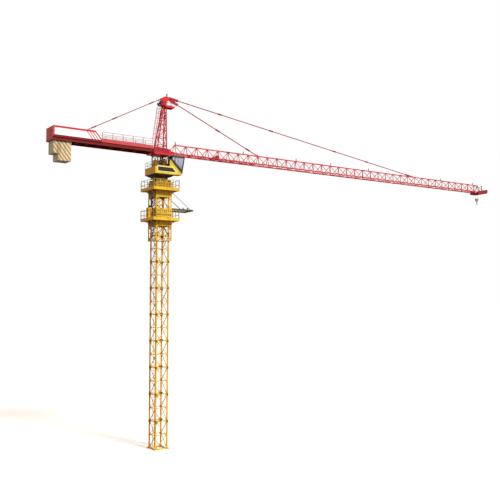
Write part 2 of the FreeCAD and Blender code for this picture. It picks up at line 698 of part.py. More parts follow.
# ---------------------------------------------------------- trolley and hook
def trolley():
    x = TROLLEY_X
    parts = []
    for s in (-1, 1):
        y = s * 760
        parts.append(box(x - 600, x + 600, y - 20, y + 20, CHORD_Z - 320, CHORD_Z + 230))
    for dx in (-450, 450):
        parts.append(box(x + dx - 60, x + dx + 60, -760, 760, CHORD_Z - 320, CHORD_Z - 200))
    for s in (-1, 1):
        parts.append(box(x - 450, x + 450, s * 180 - 15, s * 180 + 15, CHORD_Z - 320,
                         CHORD_Z - 120))
    nodes["trolley_frame"] = fuse(parts)
    wheels = []
    for s in (-1, 1):
        for dx in (-420, 420):
            z = CHORD_Z + CHORD / 2 + WHEEL_R + 4
            y0, y1 = s * 680, s * 740
            wheels.append(rod((x + dx, y0, z), (x + dx, y1, z), WHEEL_R))
    wheels = [w.cut(nodes["trolley_frame"]) for w in wheels]
    sheaves = []
    for dx in (-220, 220):
        pin = rod((x + dx, -164, CHORD_Z - 220), (x + dx, 164, CHORD_Z - 220), 30)
        disc = rod((x + dx, -25, CHORD_Z - 220), (x + dx, 25, CHORD_Z - 220), 150)
        sheaves.append(fuse([pin, disc]))
    nodes["trolley_wheels"] = loose(wheels + sheaves)

    z = HOOK_Z
    cheeks = [plate([(x - 330, z + 60), (x - 200, z + 190), (x + 200, z + 190), (x + 330, z + 60),
                     (x + 330, z - 80), (x + 120, z - 330), (x - 120, z - 330),
                     (x - 330, z - 80)], "y", s * 75 - 12, s * 75 + 12) for s in (-1, 1)]
    core = box(x - 90, x + 90, -75, 75, z - 330, z - 200)
    nodes["hook_block"] = fuse(cheeks + [core])
    discs = []
    for dx in (-180, 180):
        disc = rod((x + dx, -25, z), (x + dx, 25, z), 140)
        discs.append(fuse([disc, rod((x + dx, -62, z), (x + dx, 62, z), 28)]))
    nodes["block_sheaves"] = loose(discs)
    nodes["hook"] = hook(x, z - 350)
    falls = []
    for dx in (-330, 330):
        falls.append(rod((x + dx, 0, z + 6), (x + dx, 0, CHORD_Z - 370 - 5), 9))
    nodes["hoist_falls"] = loose(falls)


def hook(x, z):
    """The lifting hook under its swivel nut."""
    nut = rod((x, 0, z), (x, 0, z - 90), 75)
    shank = rod((x, 0, z - 80), (x, 0, z - 240), 36)
    outline = []
    centre = (x, z - 360)
    for k in range(0, 13):
        a = math.radians(90 - 270 * k / 12)
        outline.append((centre[0] + 125 * math.cos(a), centre[1] + 125 * math.sin(a)))
    back = []
    for k in range(12, -1, -1):
        a = math.radians(90 - 270 * k / 12)
        r = 62 + 4 * math.cos(a)
        back.append((centre[0] + r * math.cos(a), centre[1] + r * math.sin(a)))
    bowl = plate(outline + back, "y", -32, 32)
    return fuse([nut, shank, bowl])


# --------------------------------------------------------------------- build
nodes["base_frame"] = foot()
mast()
climbing_frame()
slewing_top()
cab()
tower_head()
jib()
counter_jib()
ties()
trolley()

os.makedirs("parts", exist_ok=True)
for name, shape in nodes.items():
    half = shape.scaled(MODEL_SCALE, vec(0, 0, 0))
    half.exportStep("parts/%s.step" % name)
    print(name, len(shape.Solids), "solids", round(shape.Volume * MODEL_SCALE ** 3 / 1e9, 4), "m3")
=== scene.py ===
# %% [markdown]
# # A tower crane around its imported frame
# The frame is the crane's steelwork, already in place and in metres. Everything here is built around it: the
# paint, the bolts, the ropes, the cab's fittings. The crane is a model at half of its real size, so lengths
# below are written as they are on the real crane, in real metres, and are halved as they are used.

# %% Load the frame and read its parts' boxes
import json
import math

import bpy
import numpy as np
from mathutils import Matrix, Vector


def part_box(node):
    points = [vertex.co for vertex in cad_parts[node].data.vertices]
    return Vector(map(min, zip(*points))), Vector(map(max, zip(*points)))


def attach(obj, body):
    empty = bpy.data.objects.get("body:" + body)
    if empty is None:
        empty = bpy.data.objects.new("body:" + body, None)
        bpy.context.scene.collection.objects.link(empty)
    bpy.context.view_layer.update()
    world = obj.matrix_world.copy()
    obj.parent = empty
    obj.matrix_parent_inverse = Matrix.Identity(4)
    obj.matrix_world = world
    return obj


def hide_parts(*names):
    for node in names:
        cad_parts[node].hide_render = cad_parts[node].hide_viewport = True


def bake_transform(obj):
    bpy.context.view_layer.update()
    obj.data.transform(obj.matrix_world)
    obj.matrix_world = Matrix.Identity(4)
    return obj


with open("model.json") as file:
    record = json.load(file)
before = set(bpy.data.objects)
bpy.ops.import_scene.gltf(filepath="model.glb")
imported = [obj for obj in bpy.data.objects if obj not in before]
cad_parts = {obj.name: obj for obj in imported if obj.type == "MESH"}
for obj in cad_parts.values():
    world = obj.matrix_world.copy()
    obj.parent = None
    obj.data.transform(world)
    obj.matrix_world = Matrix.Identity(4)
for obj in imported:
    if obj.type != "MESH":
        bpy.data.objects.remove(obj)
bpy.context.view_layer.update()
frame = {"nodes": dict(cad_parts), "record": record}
nodes = frame["nodes"]
HALF = 0.5  # the model's scale
MAST, FRAME, UPPER = "mast", "climbing_frame", "upper_works"  # bodies that pieces ride on
X_AXIS, Y_AXIS, Z_AXIS = (1, 0, 0), (0, 1, 0), (0, 0, 1)
BOTH = (-1, 1)                                                   # the two sides of the crane

# %% [markdown]
# ## Shapes as arrays
# Steelwork is mostly bars, blocks and round parts, repeated many times. Each helper below works out all of its
# copies at once with numpy, so a hundred bolts cost one call. Bars and blocks could be added one by one as
# cubes, but then each would be its own object; here a whole set is a single closed mesh.

# %% Bars and blocks
BOX_FACES = np.array([[0, 3, 2, 1], [4, 5, 6, 7], [0, 1, 5, 4], [1, 2, 6, 5], [2, 3, 7, 6], [3, 0, 4, 7]])


def real(points):
    """Real-size metres to model metres: the points times one half."""
    return np.asarray(points, float) * HALF


def rows(x, y, z):
    """One point to a row, from coordinates that are arrays or single numbers."""
    return np.stack(np.broadcast_arrays(*(np.asarray(c, float) for c in (x, y, z))), -1)


def unit(v):
    """v divided by its own length."""
    return v / np.linalg.norm(v, axis=-1, keepdims=True)


def box_faces(count):
    """Six faces for each of count boxes, whose corners follow one another by eights."""
    return (BOX_FACES[None] + 8 * np.arange(count)[:, None, None]).reshape(-1, 4)


def bars(a, b, width, depth=None, normal=Y_AXIS):
    """Four-sided bars. Each end has the corners centre ± side·width/2 ± up·depth/2, where side is
    the run crossed with the normal and up is the run crossed with side."""
    a, b = real(a).reshape(-1, 3), real(b).reshape(-1, 3)
    run = unit(b - a)
    side = unit(np.cross(run, np.broadcast_to(np.asarray(normal, float), run.shape)))
    up = np.cross(run, side)
    w, d = width * HALF / 2, (width if depth is None else depth) * HALF / 2
    signs = np.array([[1, 1], [-1, 1], [-1, -1], [1, -1]])
    ring = signs[None, :, :1] * side[:, None] * w + signs[None, :, 1:] * up[:, None] * d
    verts = np.concatenate([a[:, None] + ring, b[:, None] + ring], 1)
    return verts.reshape(-1, 3), box_faces(len(a))


def ring_of_bars(points, width, depth):
    """A closed run of bars. Each is a little shallower than the one before, so no two faces share a plane."""
    points = np.asarray(points, float)
    ends = zip(points, np.roll(points, -1, 0))
    return [bars([a], [b], width, depth * (1 - 0.05 * k)) for k, (a, b) in enumerate(ends)]


def blocks(low, high):
    """Square-edged blocks between pairs of opposite corners: low + (high - low) · each corner of a unit cube."""
    lo, hi = real(low).reshape(-1, 3), real(high).reshape(-1, 3)
    pick = np.array([[0, 0, 0], [1, 0, 0], [1, 1, 0], [0, 1, 0], [0, 0, 1], [1, 0, 1], [1, 1, 1], [0, 1, 1]])
    verts = lo[:, None] + (hi - lo)[:, None] * pick[None]
    return verts.reshape(-1, 3), box_faces(len(lo))


def about(centres, size):
    """Blocks given by their centres and one shared size."""
    c, h = np.asarray(centres, float).reshape(-1, 3), np.asarray(size, float) / 2
    return blocks(c - h, c + h)


print("a box has", len(box_faces(1)), "faces")

# %% [markdown]
# Round parts are a profile turned about an axis, or a circle carried along a path. A screw modifier would turn a
# profile too, but one copy at a time.

# %% Round parts
def ring_quads(rings, sides):
    """Quads between each ring of points and the next: point j, its neighbour k, and the same two one ring on."""
    i, j = np.meshgrid(np.arange(rings - 1), np.arange(sides), indexing="ij")
    k = (j + 1) % sides
    return np.stack([i * sides + j, i * sides + k, (i + 1) * sides + k, (i + 1) * sides + j], -1).reshape(-1, 4)


def end_caps(rings, sides, start=0):
    """The two flat ends of a run of rings."""
    ring = np.arange(sides) + start
    return [ring[::-1].tolist(), (ring + (rings - 1) * sides).tolist()]


def lathe(profile, centres, axis, segments=24):
    """The profile's (radius, along) points turned about the axis at every centre, closed by flat ends:
    centre + radius · (u·cos t + v·sin t) + along · axis, with u and v square to the axis."""
    profile, centres = np.asarray(profile, float), np.asarray(centres, float).reshape(-1, 3)
    axis = unit(np.asarray(axis, float))
    helper = np.array([1.0, 0, 0]) if abs(axis[0]) < 0.9 else np.array([0, 1.0, 0])
    u = unit(np.cross(axis, helper))
    v = np.cross(axis, u)
    t = np.linspace(0, 2 * math.pi, segments, endpoint=False)
    spoke = np.cos(t)[:, None] * u + np.sin(t)[:, None] * v
    shape = profile[:, 0, None, None] * spoke[None] + profile[:, 1, None, None] * axis
    verts = real(centres[:, None, None] + shape[None])
    starts = len(profile) * segments * np.arange(len(centres))
    quads = ring_quads(len(profile), segments)[None] + starts[:, None, None]
    ends = [end_caps(len(profile), segments, start) for start in starts]
    return verts.reshape(-1, 3), quads.reshape(-1, 4).tolist() + [e[0] for e in ends] + [e[1] for e in ends]


def rods(radius, half, centres, axis, segments):
    """Plain round bars, from -half to half along the axis about each centre."""
    return lathe([(radius, -half), (radius, half)], centres, axis, segments)


def fins(ridge, groove, start, pitch, count):
    """Profile points of a motor's cooling fins: the radius goes from groove to ridge and back at each pitch."""
    return [(ridge if k % 2 else groove, start + pitch * k) for k in range(count)]


def hexes(centres, axis, radius, height):
    """Bolt heads: hexagonal prisms that stand on their centres."""
    return lathe([(radius, 0), (radius, height * 0.8), (radius * 0.86, height)], centres, axis, 6)


def tube(path, radius, sides=10):
    """A circle carried along a path: point + r·(side·cos t + up·sin t), with side and up square to the path's own
    direction. The radius may change from point to point."""
    p = real(path)
    run = unit(np.gradient(p, axis=0))
    helper = np.array([0, 1.0, 0]) if np.abs(run[:, 1]).max() < 0.95 else np.array([0, 0, 1.0])
    side = unit(np.cross(run, helper))
    up = np.cross(side, run)
    t = np.linspace(0, 2 * math.pi, sides, endpoint=False)
    r = np.broadcast_to(np.asarray(radius, float) * HALF, (len(p),))[:, None, None]
    verts = p[:, None] + r * (np.cos(t)[None, :, None] * side[:, None] + np.sin(t)[None, :, None] * up[:, None])
    ends = [end[::-1] for end in end_caps(len(p), sides)]
    return verts.reshape(-1, 3), ring_quads(len(p), sides)[:, [0, 3, 2, 1]].tolist() + ends


print("a bolt head has", len(hexes([[0, 0, 0]], Z_AXIS, 0.02, 0.02)[1]), "faces")

# %% [markdown]
# Flat plates are an outline with a thickness. Most stand upright along the crane, and many come in pairs.

# %% Plates
def slab(outline, axis, low, high):
    """A flat plate: an outline in the plane across the axis, carried from low to high along it."""
    o = np.asarray(outline, float)
    area = np.sum(o[:, 0] * np.roll(o[:, 1], -1) - np.roll(o[:, 0], -1) * o[:, 1])
    o = o if area > 0 else o[::-1]
    n = len(o)
    places = {"y": (0, 2, 1), "x": (1, 2, 0), "z": (0, 1, 2)}[axis]
    verts = np.zeros((2, n, 3))
    verts[:, :, places[0]] = o[None, :, 0]
    verts[:, :, places[1]] = o[None, :, 1]
    verts[0, :, places[2]], verts[1, :, places[2]] = low, high
    i = np.arange(n)
    k = (i + 1) % n
    walls = np.stack([i, k, k + n, i + n], 1)
    faces = walls.tolist() + [i[::-1].tolist(), (i + n).tolist()]
    if axis == "y":
        faces = [f[::-1] for f in faces]
    return real(verts.reshape(-1, 3)), faces


def span(s, near, far):
    """From near to far on one side of the crane, lowest first."""
    return sorted((s * near, s * far))


def slab_pair(outline, near, far):
    """The same upright plate on both sides of the crane."""
    return [slab(outline, "y", *span(s, near, far)) for s in BOTH]


print("a square plate has", len(slab([(0, 0), (1, 0), (1, 1), (0, 1)], "y", 0, 1)[1]), "faces")

# %% [markdown]
# Each piece is one mesh that rides on one body of the crane, so it moves as the real one does. Its edges may be
# softened by a bevel modifier, because cut and welded steel has no knife edges.

# %% From parts to a piece
made, paints = [], {}


def piece(name, parts, body, paint, bevel=0.0, smooth=False):
    """Joins parts into one mesh, gives it its paint, and lets it ride on a body."""
    verts, faces, start = [], [], 0
    for v, f in parts:
        verts.append(v)
        faces += [[i + start for i in row] for row in (f.tolist() if hasattr(f, "tolist") else f)]
        start += len(v)
    mesh = bpy.data.meshes.new(name)
    mesh.from_pydata(np.concatenate(verts).tolist(), [], faces)
    mesh.validate()
    mesh.update()
    obj = bpy.data.objects.new(name, mesh)
    bpy.context.scene.collection.objects.link(obj)
    if smooth:
        mesh.polygons.foreach_set("use_smooth", np.ones(len(mesh.polygons), bool))
        mesh.set_sharp_from_angle(angle=math.radians(38))
    if bevel:
        mod = obj.modifiers.new("soft edges", "BEVEL")
        mod.width, mod.segments, mod.limit_method = bevel * HALF, 2, "ANGLE"
        mod.angle_limit = math.radians(40)
    mesh.materials.append(paints[paint])
    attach(obj, body)
    made.append((name, len(mesh.polygons)))
    print(name, "on", body, "with", len(mesh.polygons), "faces")
    return obj


# %% [markdown]
# ## What the years do to paint, and painted shade
# The crane stands outside for years. Rain draws dirt down its faces, the corners lose their paint first, and no
# panel is quite the colour of the next. Three node groups hold these effects and a fourth paints shade on the faces
# that look back; each paint mixes them in its own strength. A picture texture would blur up close and has no place
# on a lattice, so all is worked out.

# %% Node helpers
def link(tree, a, b):
    """Joins an output to an input."""
    tree.links.new(a, b)


def node(tree, kind, inputs=None, **settings):
    """Adds a node; inputs gives values or sockets by name or number."""
    n = tree.nodes.new(kind)
    for k, v in settings.items():
        setattr(n, k, v)
    for k, v in (inputs or {}).items():
        if isinstance(v, bpy.types.NodeSocket):
            link(tree, v, n.inputs[k])
        else:
            n.inputs[k].default_value = v
    return n


def place_on(tree):
    """Where a point is on the object, wherever the object has gone."""
    return node(tree, "ShaderNodeTexCoord").outputs["Object"]


def noise(tree, place, scale, detail, **more):
    """A soft random value at a place, mostly between 0.3 and 0.7."""
    return node(tree, "ShaderNodeTexNoise", {"Vector": place, "Scale": scale, "Detail": detail, **more}).outputs[0]


def maths(tree, op, a, b=0.0, clamp=False):
    """One sum; clamp holds it between 0 and 1."""
    return node(tree, "ShaderNodeMath", {0: a, 1: b}, operation=op, use_clamp=clamp).outputs[0]


def times(tree, first, *others):
    """The product of all of them. Masks of 0 and 1 multiply to where all hold."""
    for other in others:
        first = maths(tree, "MULTIPLY", first, other)
    return first


def over(tree, value, limit):
    """1 where the value is over the limit, 0 elsewhere."""
    return maths(tree, "GREATER_THAN", value, limit)


def under(tree, value, limit):
    """1 where the value is under the limit, 0 elsewhere."""
    return maths(tree, "LESS_THAN", value, limit)


def ramp(tree, value, low, high):
    """0 below low, 1 above high, smooth between."""
    return node(tree, "ShaderNodeMapRange", {"Value": value, "From Min": low, "From Max": high},
                interpolation_type="SMOOTHSTEP").outputs[0]


def group(name, ins, outs):
    """An empty node group with its inputs, their usual values, and its outputs."""
    g = bpy.data.node_groups.new(name, "ShaderNodeTree")
    for title, value in ins:
        g.interface.new_socket(title, in_out="INPUT", socket_type="NodeSocketFloat").default_value = value
    for title in outs:
        g.interface.new_socket(title, in_out="OUTPUT", socket_type="NodeSocketFloat")
    print("node group:", name, "gives", outs)
    return g, g.nodes.new("NodeGroupInput"), g.nodes.new("NodeGroupOutput")


print("node groups so far:", len(bpy.data.node_groups))

# %% [markdown]
# Paint goes first where steel is knocked, at the corners, and rust follows in spots. Where the softened direction
# of a face parts from its true one, an edge is near, and a noise keeps the worn line broken.

# %% Edge wear: bare and rusty corners
wear, wear_in, wear_out = group("edge wear", [("Reach", 0.006), ("Amount", 0.5)], ["Edge", "Rust"])
soft = node(wear, "ShaderNodeBevel", {"Radius": wear_in.outputs["Reach"]}, samples=4)
true = node(wear, "ShaderNodeNewGeometry").outputs["Normal"]
dot = node(wear, "ShaderNodeVectorMath", {0: soft.outputs[0], 1: true}, operation="DOT_PRODUCT")
rim = maths(wear, "SUBTRACT", 1.0, dot.outputs["Value"])
place = place_on(wear)
broken = ramp(wear, noise(wear, place, 23.0, 6.0), 0.46, 0.62)
edge = times(wear, ramp(wear, rim, 0.02, 0.16), broken)
spots = ramp(wear, noise(wear, place, 7.0, 9.0, Roughness=0.7), 0.66, 0.74)
for mask, out in ((edge, "Edge"), (spots, "Rust")):
    link(wear, maths(wear, "MULTIPLY", mask, wear_in.outputs["Amount"], True), wear_out.inputs[out])

# %% [markdown]
# Rain runs straight down, so its dirt is a noise stretched along the height. A second, broad noise shifts the
# tone from panel to panel.

# %% Rain streaks: dirt drawn down the faces
rain, rain_in, rain_out = group("rain streaks", [("Scale", 9.0), ("Amount", 0.5)], ["Streak", "Tone"])
place = place_on(rain)
long = node(rain, "ShaderNodeMapping", {"Vector": place, "Scale": (1.0, 1.0, 0.09)}).outputs[0]
streak = ramp(rain, noise(rain, long, rain_in.outputs["Scale"], 5.0), 0.48, 0.72)
streak = maths(rain, "MULTIPLY", streak, rain_in.outputs["Amount"], True)
link(rain, streak, rain_out.inputs["Streak"])
link(rain, ramp(rain, noise(rain, place, 0.9, 3.0), 0.3, 0.7), rain_out.inputs["Tone"])

# %% [markdown]
# Thick paint dries with a fine orange-peel relief, made here of a fine noise and small cells. It is too shallow
# for the mesh, so it only tilts the shading.

# %% Paint relief
coat, coat_in, coat_out = group("paint relief", [("Scale", 60.0)], ["Height"])
place = place_on(coat)
dimple = node(coat, "ShaderNodeTexVoronoi", {"Vector": place, "Scale": 140.0}).outputs[0]
fine = noise(coat, place, coat_in.outputs["Scale"], 4.0)
link(coat, maths(coat, "ADD", fine, times(coat, dimple, 0.4)), coat_out.inputs["Height"])

# %% [markdown]
# Painted shade: the faces that look back along the counter-jib are darkened, as if they stood in shade. The object's
# own direction picks them, so they stay the same faces when the crane turns.

# %% Painted shade on the faces that look back
painted_shade, painted_shade_in, painted_shade_out = group("weather side", [("Amount", 0.5)], ["Mask"])
own = node(painted_shade, "ShaderNodeTexCoord").outputs["Normal"]
faces_x = node(painted_shade, "ShaderNodeSeparateXYZ", {0: own}).outputs[0]
# the painted shade mask: 1 on faces whose own direction points back along the counter-jib
behind = ramp(painted_shade, times(painted_shade, faces_x, -1.0), 0.35, 0.95)
link(painted_shade, maths(painted_shade, "MULTIPLY", behind, painted_shade_in.outputs["Amount"], True), painted_shade_out.inputs["Mask"])

# %% [markdown]
# ## Paints and metals
# A paint is its colour, a darker and a faded cousin of it, and how much of each effect it shows. The Principled
# shader stays in each material, and what is the same all over is set on its own sockets.

# %% A worn paint, with painted shade on its back faces
RUST, GRIME, BLEACHED = (0.16, 0.045, 0.015), (0.05, 0.035, 0.022), np.array([0.9, 0.85, 0.8])
SHADE_SHARE = (0.55, 0.36, 0.35)  # the share of a colour left on the faces that look back: painted shade


def mix(tree, factor, a, b):
    """The colour a where the factor is 0, b where it is 1."""
    n = node(tree, "ShaderNodeMix", data_type="RGBA")
    for s, v in ((n.inputs[0], factor), (n.inputs[6], a), (n.inputs[7], b)):
        if isinstance(v, bpy.types.NodeSocket):
            link(tree, v, s)
        else:
            s.default_value = v if isinstance(v, (int, float)) else tuple(v)[:3] + (1,)
    return n.outputs[2]


def material(name):
    """A new material, entered among the paints: its node tree and its Principled shader."""
    paints[name] = bpy.data.materials.new(name)
    paints[name].use_nodes = True
    return paints[name].node_tree, paints[name].node_tree.nodes["Principled BSDF"]


def effect(tree, source, **values):
    """Uses a node group in a material; gives its outputs."""
    n = node(tree, "ShaderNodeGroup", node_tree=source)
    for title, value in values.items():
        n.inputs[title].default_value = value
    return n.outputs


def relief(tree, shader, height, strength, distance):
    """Tilts the shading by the slope of a height."""
    bump = node(tree, "ShaderNodeBump", {"Strength": strength, "Distance": distance, "Height": height})
    link(tree, bump.outputs[0], shader.inputs["Normal"])


def paint(name, colour, fade=0.035, dirt=0.35, chips=0.5, gloss=0.38, metal=0.0, reach=0.006, pattern=None,
          painted_shade_amount=0.0, painted_shade_colour=None):
    """A coat dirtied and worn by the years, with painted shade on the faces that look back. pattern may repaint the
    colour before the dirt, wear and shade reach it.
    """
    t, shader = material(name)
    dirty, worn = effect(t, rain, Amount=dirt), effect(t, wear, Amount=chips, Reach=reach)
    base = np.array(colour)
    body = mix(t, dirty["Tone"], base * 0.86, base + (BLEACHED - base) * fade)
    if pattern:
        body = pattern(t, body)
    # painted shade: the faces that look back are mixed towards a darker colour of the paint
    if painted_shade_amount:
        mask = effect(t, painted_shade, Amount=painted_shade_amount)["Mask"]
        body = mix(t, mask, body, base * SHADE_SHARE if painted_shade_colour is None else painted_shade_colour)
    body = mix(t, dirty["Streak"], body, mix(t, 0.35, GRIME, base * 0.4))
    body = mix(t, worn["Edge"], body, base * 0.35 + 0.02)
    body = mix(t, worn["Rust"], body, RUST)
    link(t, body, shader.inputs["Base Color"])
    rough = maths(t, "ADD", gloss, times(t, dirty["Streak"], 0.4))
    rough = maths(t, "ADD", rough, times(t, worn["Rust"], 0.4), True)
    link(t, rough, shader.inputs["Roughness"])
    shader.inputs["Metallic"].default_value = metal
    shader.inputs["Specular IOR Level"].default_value = 0.3
    relief(t, shader, effect(t, coat)["Height"], 0.25, 0.002)


print("a paint mixes", [g.name for g in (wear, rain, coat, painted_shade)])

# %% [markdown]
# Some paint follows a drawing: stripes on the panels and weights, a dark top to the cab, scuffed treads. A drawing
# could be cut into the mesh, but it is paint on the real crane too, so it is a rule on the object's own place.

# %% Patterns on the red and white steel
# the deep red is painted shade: the red steel under the counter-jib's deck and below the white panels
BORDER_RED, SHADE_RED = (0.60, 0.016, 0.024), (0.19, 0.003, 0.004)


def coordinates(t):
    """x, y and z of a point on the object, in model metres."""
    return node(t, "ShaderNodeSeparateXYZ", {0: place_on(t)}).outputs


def facing(t):
    """The face's own direction on the object at rest, so that a pattern turns with the piece."""
    return node(t, "ShaderNodeSeparateXYZ", {0: node(t, "ShaderNodeTexCoord").outputs["Normal"]}).outputs


def cycle(t, distance, length):
    """How far through its stripe a point is, from 0 to 1: the fraction of distance / length."""
    return maths(t, "FRACT", maths(t, "DIVIDE", distance, length))


def side_panel_print_and_shade(t, body):
    """White field with a red border and three slanted stripes before its sloping end, and painted shade in deep
    red below the border. Along the slope, x + 0.83 z is constant, so stripes are bands of that sum."""
    x, _, z = coordinates(t)
    front, lean, bottom = HALF * (-7.66 + 0.83 * 34.05), times(t, z, 0.83), HALF * 34.00
    back = maths(t, "SUBTRACT", front, maths(t, "ADD", x, lean))         # distance behind the sloping end
    inside = times(t, over(t, z, bottom), under(t, z, HALF * 34.75), over(t, x, HALF * -12.98), over(t, back, 0.09))
    phase = cycle(t, maths(t, "SUBTRACT", back, 0.09), 0.17)
    stripe = times(t, over(t, phase, 0.62), under(t, back, 0.60))
    white = times(t, inside, maths(t, "SUBTRACT", 1.0, stripe))
    # below the border: painted shade in deep red
    return mix(t, white, mix(t, over(t, z, bottom), SHADE_RED, BORDER_RED), body)


def girder_shade_pattern(t, body):
    """Painted shade: the counter-jib's girders, behind the tower and below its deck, are painted the darkest of the
    red steel, as if in the shade of the deck.
    """
    x, _, z = coordinates(t)
    return mix(t, times(t, under(t, z, HALF * 33.83), under(t, x, HALF * -1.1)), body, SHADE_RED)


print("patterns on red and white: side panel, girder")

# %% [markdown]
# The weights and the hook block have slanted bands, so that people see them move. The cab's panes and roof sit in
# dark paint above a falling line.

# %% Patterns on the weights, cab, block, board and treads
def hazard_pattern(t, body):
    """Slanted bands on the narrow sides of the slabs, which face across the crane."""
    x, _, z = coordinates(t)
    band = cycle(t, maths(t, "ADD", x, times(t, z, 0.8)), 0.215)
    across = over(t, maths(t, "ABSOLUTE", facing(t)[1]), 0.7)
    return mix(t, times(t, over(t, band, 0.55), across), body, (0.42, 0.22, 0.03))


def cab_pattern(t, body):
    """The cab's body is dark above a line that falls forward, x + 0.95 z constant, and yellow below it."""
    x, _, z = coordinates(t)
    line = maths(t, "ADD", x, times(t, z, 0.95))
    above = times(t, over(t, line, HALF * (0.60 + 0.95 * 32.80)), over(t, x, HALF * 0.79))
    return mix(t, above, body, (0.016, 0.020, 0.018))


def block_pattern(t, body):
    """Slanted darker bands on the cheeks of the hook block."""
    x, _, z = coordinates(t)
    return mix(t, over(t, cycle(t, maths(t, "ADD", x, z), 0.11), 0.72), body, (0.16, 0.15, 0.14))


def board_pattern(t, body):
    """A bare board, a little lighter towards its top."""
    return mix(t, ramp(t, coordinates(t)[2], HALF * 31.1, HALF * 31.7), body, (0.030, 0.024, 0.010))


def tread_pattern(t, body):
    """Walked-on tops are darker and scuffed where feet go."""
    scuff = ramp(t, noise(t, place_on(t), 3.0, 5.0), 0.35, 0.6)
    return mix(t, times(t, over(t, facing(t)[2], 0.7), scuff), body, (0.16, 0.10, 0.05))


print("patterns: weights, cab, block, board, treads")

# %% [markdown]
# The crane has few paints: orange mast, yellow climbing frame and cab, red jib and weathered greys and browns.

# %% The set of paints
ORANGE, YELLOW, RED = (0.89, 0.51, 0.035), (0.84, 0.52, 0.018), (0.66, 0.012, 0.022)
# painted shade: mast, climbing frame, red steel and white panels are darker on the faces that look back; the climbing
# frame's shade is orange-brown and the panels' dark red
paint("mast_orange", ORANGE, dirt=0.30, chips=0.45, painted_shade_amount=0.6)
paint("cage_yellow", YELLOW, chips=0.4, pattern=tread_pattern, painted_shade_amount=0.6, painted_shade_colour=(0.88, 0.38, 0.006))
paint("works_red", RED, fade=0.015, dirt=0.20, chips=0.25, painted_shade_amount=0.35, pattern=girder_shade_pattern)
paint("deck_red", (0.58, 0.035, 0.045), fade=0.06, pattern=tread_pattern)
paint("winch_red", (0.46, 0.012, 0.02), fade=0.01, chips=0.4)
paint("tie_red", (0.36, 0.012, 0.03), fade=0.01, dirt=0.3, chips=0.3)
paint("handrail_paint", (0.38, 0.28, 0.06), dirt=0.4, reach=0.003)
paint("ladder_steel", (0.55, 0.28, 0.06), dirt=0.4, reach=0.003)
paint("feed_beam_paint", (0.10, 0.075, 0.015), dirt=0.6)
paint("dark_steel", (0.035, 0.034, 0.036), fade=0.03, gloss=0.34, metal=0.6, chips=0.3)
paint("table_paint", (0.055, 0.034, 0.012), fade=0.02, dirt=0.6)
paint("board_dark", (0.018, 0.014, 0.006), fade=0.02, dirt=0.1, chips=0.1, pattern=board_pattern)
paint("drive_paint", (0.09, 0.12, 0.15), dirt=0.4)
paint("cab_yellow", (0.84, 0.62, 0.03), dirt=0.2, chips=0.2, pattern=cab_pattern)
paint("panel_white", (0.92, 0.90, 0.88), fade=0.02, dirt=0.05, chips=0.2, pattern=side_panel_print_and_shade, painted_shade_amount=1.0,
      painted_shade_colour=(0.50, 0.004, 0.012))
paint("worn_brown", (0.27, 0.135, 0.012), fade=0.0, dirt=0.5)
paint("concrete", (0.66, 0.58, 0.42), fade=0.1, dirt=0.5, chips=0.25, gloss=0.8, reach=0.02, pattern=hazard_pattern)
paint("block_grey", (0.40, 0.40, 0.40), dirt=0.5, chips=0.8, pattern=block_pattern)
paint("panel_border", (0.88, 0.80, 0.36), fade=0.02, dirt=0.1, chips=0.1)
paint("cab_trim", (0.025, 0.025, 0.028), fade=0.02, dirt=0.1, chips=0.0, gloss=0.6)
print("paints:", len(paints))

# %% [markdown]
# Ropes, pins and the ram's rod are bare steel. Fine stretched lines in the roughness stand for drawing and wiping.

# %% Bare metals
def metal(name, colour, rough, stretch=(1, 1, 12)):
    """Bare steel: fine brushed lines and a dull film."""
    t, shader = material(name)
    spot = place_on(t)
    lines = noise(t, node(t, "ShaderNodeMapping", {"Vector": spot, "Scale": stretch}).outputs[0], 40.0, 4.0)
    film = ramp(t, noise(t, spot, 2.5, 5.0), 0.35, 0.7)
    link(t, mix(t, film, colour, np.array(colour) * 0.55), shader.inputs["Base Color"])
    link(t, maths(t, "ADD", rough, times(t, lines, 0.25)), shader.inputs["Roughness"])
    shader.inputs["Metallic"].default_value = 0.9
    relief(t, shader, lines, 0.15, 0.001)


metal("stay_steel", (0.36, 0.37, 0.39), 0.35)
metal("ram_steel", (0.72, 0.73, 0.75), 0.08)
metal("rope_steel", (0.16, 0.16, 0.17), 0.4, (1, 1, 3))
print("paints and metals:", len(paints))

# %% [markdown]
# The cab's panes are tinted, and bright at the top, where they give back the sky. The sky is painted on, softly,
# because a pane this small in a wide white scene has nothing else to reflect. With the glass the set of paints
# is complete, so every node of the frame takes its own.

# %% Cab glass, and paint on the frame
t, shader = material("cab_glass")
smear = noise(t, place_on(t), 1.6, 4.0)
sky = ramp(t, coordinates(t)[2], HALF * 31.3, HALF * 32.7)
cloud = mix(t, ramp(t, smear, 0.35, 0.7), (0.42, 0.45, 0.58), (0.70, 0.73, 0.82))
link(t, mix(t, sky, (0.05, 0.06, 0.09), cloud), shader.inputs["Base Color"])
link(t, maths(t, "ADD", 0.03, times(t, smear, 0.08)), shader.inputs["Roughness"])
shader.inputs["Transmission Weight"].default_value = 0.2
shader.inputs["IOR"].default_value = 1.5
slot_of = {s["node"]: s["material_slot"] for s in frame["record"]["subparts"]}
for name, obj in nodes.items():
    obj.data.materials.clear()
    obj.data.materials.append(paints[slot_of[name]])
print("frame nodes painted:", len(nodes))

# %% [markdown]
# ## The mast
# Ten sections are bolted leg to leg. At each joint a sleeve of thick plate wraps every leg, with bolts through
# it. The sleeves could be part of the legs, but they are their own plates on the real mast, and they read as
# dark knots up its length.

# %% Mast joints
MAST_STEP = (30.0 - 0.06) / 20  # half a section, from one bracing level to the next
LEG = 0.73                                                       # from the mast's axis to the middle of a leg
CORNERS = np.array([[x, y] for x in BOTH for y in BOTH])


def square_round(spots, reach):
    """The four corners of a square about each spot: the spot ± reach both ways."""
    return (np.asarray(spots, float)[:, None] + CORNERS * reach).reshape(-1, 2)


